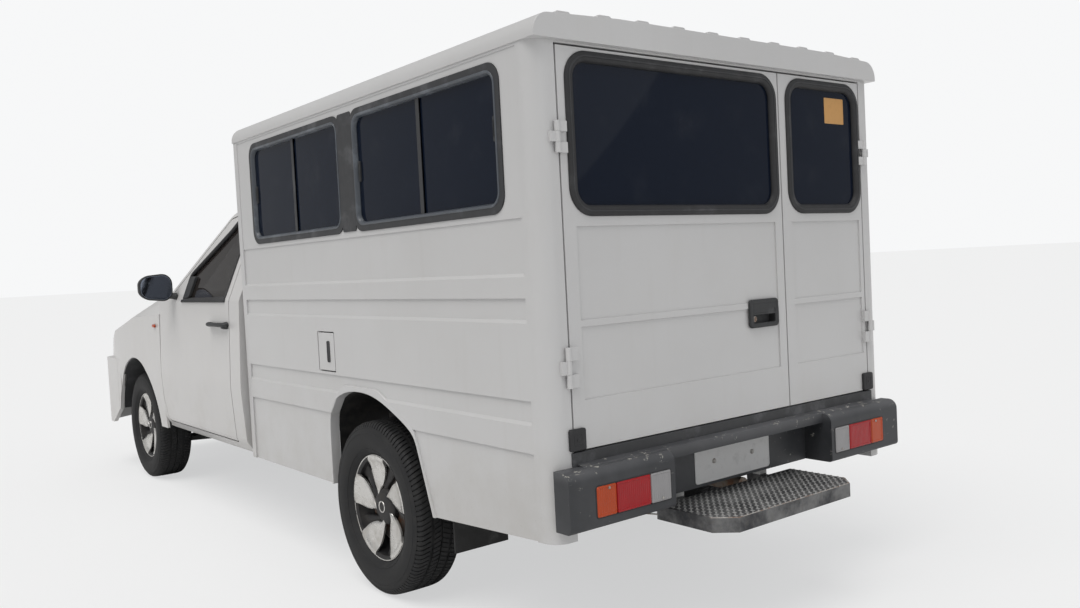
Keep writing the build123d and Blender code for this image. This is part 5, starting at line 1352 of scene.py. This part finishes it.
fenderSettings = {
    "y": 0.8655, "end": ((2.086, 0.741), (2.086, 0.553), (2.1, 0.524), (2.115, 0.491), (2.13, 0.452),
                         (2.14, 0.418), (2.144, 0.404), (2.163, 0.404), (2.163, 0.741)),
    "radius": 0.4375, "from": 165.5, "to": 10.0, "endRise": (-0.02, 0.0018), "wellY": (0.842, 0.6), "wellThick": 0.003,
}


def frontArch(s, hand, side):
    outline = np.array(s["end"])
    plane = sidePlane(hand, s["y"])
    rings = [plane(outline[:, 0], outline[:, 1], depth) for depth in s["endRise"]]
    meshObject(f"fenderEnd_{side}", *capped(np.stack(rings)), "cabPaint", "root", "cab_paint", flat=True)
    well = []
    outer, inner = s["wellY"]
    near, far = s["radius"], s["radius"] + s["wellThick"]
    for degrees in np.linspace(s["from"], s["to"], 60):
        turn = np.radians(degrees)
        well.append([(frontAxleX + r * cos(turn), hand * y, tyreRadius + r * np.sin(turn))
                     for r, y in ((near, outer), (near, inner), (far, inner), (far, outer))])
    meshObject(f"frontWell_{side}", *capped(np.array(well)), "blackPlastic", flat=True)


for hand, side in sides:
    rearArch(rearArchSettings, hand, side)
    frontArch(fenderSettings, hand, side)

headlampSettings = {
    "bowls": ((0.545, 0.812, 0.04), (0.65, 0.838, 0.05)), "amber": (0.765, 0.88, 0.026), "behind": 0.012,
}


def headlampInside(s, hand, side):
    lamp = frame["nodes"]["headlamps"]
    bright, dark, lens = [], [], []

    def seat(y, z):
        hit, spot, normal, _ = lamp.ray_cast((4.0, hand * y, z), (-1.0, 0.0, 0.0))
        return (np.array(spot), np.array(normal)) if hit else (np.array((2.55, hand * y, z)), np.array((1.0, 0, 0)))
    for y, z, r in s["bowls"]:
        spot, normal = seat(y, z)
        way = np.array((1.0, normal[1] * 0.5, 0.0))
        way /= np.linalg.norm(way)
        depth = s["behind"] + r * 0.25
        bright.append(turned([(0.0005, -r * 0.55), (r * 0.35, -r * 0.52), (r * 0.75, -r * 0.3), (r, 0.0),
                              (r * 1.06, 0.0), (r * 1.06, -0.004), (r * 0.78, -r * 0.36), (0.0005, -r * 0.62)],
                             spot - way * depth, way, 40))
        dark.append(turned([(0.0005, -r * 0.2), (r * 0.2, -r * 0.22), (r * 0.2, -r * 0.5), (0.0005, -r * 0.5)],
                           spot - way * depth, way, 20))
    y, z, r = s["amber"]
    spot, normal = seat(y, z)
    way = normal / np.linalg.norm(normal)
    lens.append(turned([(0.0005, 0.004), (r * 0.7, 0.002), (r, -0.006), (r, -0.016), (0.0005, -0.018)],
                       spot - way * 0.016, way, 32))
    meshObject(f"lampBowls_{side}", *joined(*bright), "mirrorGlass", "root", "clear_glass")
    meshObject(f"lampBulbs_{side}", *joined(*dark), "lensClear", "root", "lamp_lens")
    meshObject(f"lampAmber_{side}", *joined(*lens), "lensAmber", "root", "lamp_lens")


for hand, side in sides:
    headlampInside(headlampSettings, hand, side)

openingNodes = ("hood", "cab_door_left", "cab_door_right", "rear_door_left", "rear_door_right", "fuel_flap")
finishSlots = {
    "cabPaint": "cab_paint", "bodyPaint": "body_paint", "bumperBlack": "bumper_black", "treadPlate": "tread_plate",
    "chassisBlack": "chassis_black",
}
softenSettings = {  # angle in degrees from which an edge is rounded, and the width of the rounding
    "hood": (30, 0.003), "front_fenders": (30, 0.003), "front_bumper": (30, 0.005), "cab_shell": (24, 0.0025),
    "cab_door_left": (24, 0.0025), "cab_door_right": (24, 0.0025), "box_roof": (20, 0.004),
    "box_side_left": (16, 0.0016), "box_side_right": (16, 0.0016), "box_rear_frame": (24, 0.0025),
    "rear_door_left": (16, 0.0014), "rear_door_right": (16, 0.0014), "rear_bumper": (24, 0.004),
    "fuel_flap": (24, 0.0008), "rear_step": (24, 0.0015), "mud_flaps": (24, 0.0015), "front_panel": (24, 0.0015),
    "fuel_tank": (24, 0.004), "dashboard": (24, 0.006),
}


def softened(nodes, table):
    # the same surface as the CAD piece, its flat faces joined into whole ones and its sharp edges rounded
    for name, (angle, width) in table.items():
        source = nodes[name]
        data = source.data.copy()
        item = bpy.data.objects.new(f"{name}_finished", data)
        bpy.context.scene.collection.objects.link(item)
        build = bmesh.new()
        build.from_mesh(data)
        bmesh.ops.remove_doubles(build, verts=build.verts, dist=0.00002)
        bmesh.ops.dissolve_limit(build, angle_limit=0.004, verts=build.verts, edges=build.edges)
        build.to_mesh(data)
        build.free()
        if "custom_normal" in data.attributes:
            data.attributes.remove(data.attributes["custom_normal"])
        data.shade_smooth()
        data.set_sharp_from_angle(angle=np.radians(angle))
        edge = item.modifiers.new("edges", "BEVEL")
        edge.limit_method = "ANGLE"
        edge.angle_limit = np.radians(angle)
        edge.width = width
        edge.segments = 2
        edge.use_clamp_overlap = True
        edge.harden_normals = True
        for slot in item.material_slots:
            slot.material = finishes[nodeFinish[name]]
        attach(item, name if name in openingNodes else "root")
        finishSlots.get(nodeFinish[name], "black_plastic")
        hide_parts(name)


softened(frame["nodes"], softenSettings)

print("stage 10: engine bay and load space")

baySettings = {
    "engineTop": 0.96, "engineX": (1.52, 2.1), "coverY": (-0.15, 0.11), "coverRibs": 5, "branches": 4,
    "pulleys": ((0.0, 0.56, 0.085), (0.19, 0.76, 0.055), (-0.18, 0.74, 0.06), (-0.1, 0.9, 0.035)),
    "battery": (1.56, 1.735, 0.395, 0.575, 0.7, 0.88), "airBox": (1.6, 1.86, -0.585, -0.395, 0.7, 0.9),
    "tank": (2.06, 2.19, 0.42, 0.54, 0.7, 0.86), "radiator": (2.395, 2.44, -0.42, 0.42, 0.545, 0.872),
    "fan": (2.372, 0.0, 0.7, 0.16), "fanBlades": 7, "tubesZ": (0.565, 0.845), "tubes": 36,
    "hoses": [  # radius, then the points from the engine's end
        (0.024, (2.08, -0.15, 0.92), (2.18, -0.2, 0.905), (2.3, -0.26, 0.86), (2.4, -0.3, 0.835)),
        (0.036, (1.86, -0.49, 0.84), (1.96, -0.48, 0.88), (2.03, -0.36, 0.93), (2.0, -0.2, 0.985),
         (1.95, -0.1, 1.0)),
        (0.008, (1.735, 0.43, 0.86), (1.8, 0.38, 0.9), (1.86, 0.32, 0.92), (1.9, 0.25, 0.93)),
        (0.009, (2.19, 0.48, 0.82), (2.26, 0.44, 0.85), (2.34, 0.38, 0.862), (2.4, 0.33, 0.855)),
    ],
    "filler": [(0.0005, 0.03), (0.026, 0.029), (0.03, 0.022), (0.03, 0.0)], "fillerY": 0.09,
    "branch": ((0.11, 0.02), (0.2, 0.045), (0.275, 0.02), (0.3, -0.04)), "branchRadius": 0.021,  # y, height over top
    "rail": (0.285, 0.016), "railRadius": 0.032, "bladeWidth": (0.02, 0.034), "bladeTwist": 1.6, "bladeSquash": 0.22,
    "fanHub": [(0.0005, -0.026), (0.034, -0.024), (0.036, 0.006), (0.0005, 0.008)],
    "post": [(0.0005, 0.022), (0.009, 0.022), (0.011, 0.0)], "postInset": 0.04, "tubeHalf": 0.4, "tubeRadius": 0.0026,
}


def levelBox(box, radius, crown=0.006):
    # upright box with rounded corners and a slightly rounded top
    xLow, xHigh, yLow, yHigh, zLow, zHigh = box
    tall = zHigh - zLow
    profile = [(0.002, 0.0), (0.0, 0.003), (0.0, tall - crown), (crown * 0.35, tall - crown * 0.3), (crown, tall)]
    return slab((xLow, xHigh, yLow, yHigh), radius, profile, lying(zLow), 6)


def engineBay(s):
    xLow, xHigh = s["engineX"]
    top = s["engineTop"]
    yLow, yHigh = s["coverY"]
    cover = [levelBox((xLow + 0.03, xHigh - 0.06, yLow, yHigh, top - 0.01, top + 0.052), 0.03, 0.02)]
    for y in np.linspace(yLow + 0.04, yHigh - 0.04, s["coverRibs"]):
        cover.append(levelBox((xLow + 0.07, xHigh - 0.11, y - 0.008, y + 0.008, top + 0.048, top + 0.06), 0.007, 0.004))
    cover.append(turned(s["filler"], (xLow + 0.1, s["fillerY"], top + 0.048), (0, 0, 1), 28))
    meshObject("engineCover", *joined(*cover), "dashPlastic")
    metal = []
    for x in np.linspace(xLow + 0.08, xHigh - 0.12, s["branches"]):
        path = sampled([(x, y, top + rise) for y, rise in s["branch"]], 18)
        metal.append(tube(path, s["branchRadius"], 16))
    y, rise = s["rail"]
    metal.append(tube(np.array([(xLow + 0.03, y, top + rise), (xHigh - 0.07, y, top + rise)]), s["railRadius"], 20))
    for y, z, r in s["pulleys"]:
        metal.append(turned([(0.0005, 0.046), (r * 0.35, 0.046), (r * 0.45, 0.03), (r * 0.9, 0.03), (r, 0.04),
                             (r, 0.034), (r * 0.94, 0.024), (r, 0.014), (r, 0.0)], (xHigh, y, z), (1, 0, 0), 40))
    meshObject("engineMetal", *joined(*metal), "paintedEngine", "root", "engine_grey")
    dark = [levelBox(s["battery"], 0.01), levelBox(s["airBox"], 0.02, 0.012)]
    b = s["battery"]
    lid = (b[0] - 0.004, b[1] + 0.004, b[2] - 0.004, b[3] + 0.004, b[5] - 0.022, b[5] + 0.01)
    dark.append(levelBox(lid, 0.01))
    xFan, yFan, zFan, rFan = s["fan"]
    dark.append(turned([(rFan + 0.02, 0.0), (rFan + 0.02, 0.02), (rFan, 0.02), (rFan, -0.03), (rFan + 0.006, -0.03),
                        (rFan + 0.02, 0.0)], (xFan, yFan, zFan), (1, 0, 0), 56))
    for turn in np.linspace(0, 2 * pi, s["fanBlades"], endpoint=False):
        reach = np.linspace(0.03, rFan - 0.008, 10)
        twist = turn + reach * s["bladeTwist"]
        path = np.stack([np.full(10, xFan - 0.008), yFan + reach * np.cos(twist), zFan + reach * np.sin(twist)],
                        axis=-1)
        dark.append(tube(path, np.linspace(*s["bladeWidth"], 10), 10, s["bladeSquash"]))
    dark.append(turned(s["fanHub"], (xFan, yFan, zFan), (1, 0, 0), 30))
    for radius, *hose in s["hoses"]:
        dark.append(tube(sampled(hose, 40), radius, 16))
    meshObject("bayPlastic", *joined(*dark), "blackPlastic")
    core = [levelBox(s["radiator"], 0.006, 0.003)]
    for z in np.linspace(*s["tubesZ"], s["tubes"]):
        x = s["radiator"][0] - 0.002
        core.append(tube(np.array([(x, -s["tubeHalf"], z), (x, s["tubeHalf"], z)]), s["tubeRadius"], 6))
    meshObject("radiatorCore", *joined(*core), "paintedEngine", "root", "engine_grey", flat=True)
    meshObject("coolantTank", *levelBox(s["tank"], 0.03, 0.02), "lensClear", "root", "clear_glass")
    inset = s["postInset"]
    posts = [turned(s["post"], (x, b[3] - inset, b[5] + 0.008), (0, 0, 1), 18) for x in (b[0] + inset, b[1] - inset)]
    meshObject("batteryPosts", *joined(*posts), "zincSteel", "root", "engine_grey")


engineBay(baySettings)

loadSettings = {
    "x": (-2.4, -0.2), "top": 0.668, "half": 0.5, "ribs": 17, "rise": 0.005, "wallY": 0.806,
    "inside": ((-2.31, -1.36), (-1.24, -0.33)), "low": 0.9, "high": 1.33, "edge": 0.03, "ribHalf": 0.012,
    "board": [(0.0, -0.002), (0.0, 0.003), (0.003, 0.005)],
}


def loadSpace(s):
    # pressed ribs along the floor, lining boards on the inner walls
    profile = [(0.0, -0.001), (0.0, 0.001), (0.004, s["rise"] - 0.001), (0.007, s["rise"])]
    ribs = [slab((*s["x"], y - s["ribHalf"], y + s["ribHalf"]), 0.008, profile, lying(s["top"]), 4)
            for y in np.linspace(-s["half"] + s["edge"], s["half"] - s["edge"], s["ribs"])]
    meshObject("floorRibs", *joined(*ribs), "floorLining", "root", "floor_lining", flat=True)
    for hand, side in sides:
        plane = sidePlane(-hand, -s["wallY"])
        boards = [slab((low, high, s["low"], s["high"]), 0.02, s["board"], plane) for low, high in s["inside"]]
        meshObject(f"wallLining_{side}", *joined(*boards), "sashGrey", "root", "floor_lining", flat=True)


loadSpace(loadSettings)

flapLockSettings = {
    "box": (rearAxleX + 0.311, rearAxleX + 0.336, 0.878, 0.965), "radius": 0.006, "face": 0.8455, "rise": 0.0035,
}


def flapLock(s):
    # dark slot in the middle of the flap
    rise = s["rise"]
    profile = [(0.0, -0.004), (0.0, rise - 0.0012), (0.0012, rise), (0.003, rise), (0.0042, rise - 0.002)]
    lock = slab(s["box"], s["radius"], profile, sidePlane(1, s["face"]))
    meshObject("flapLock", *lock, "blackPlastic", "fuel_flap", flat=True)


flapLock(flapLockSettings)
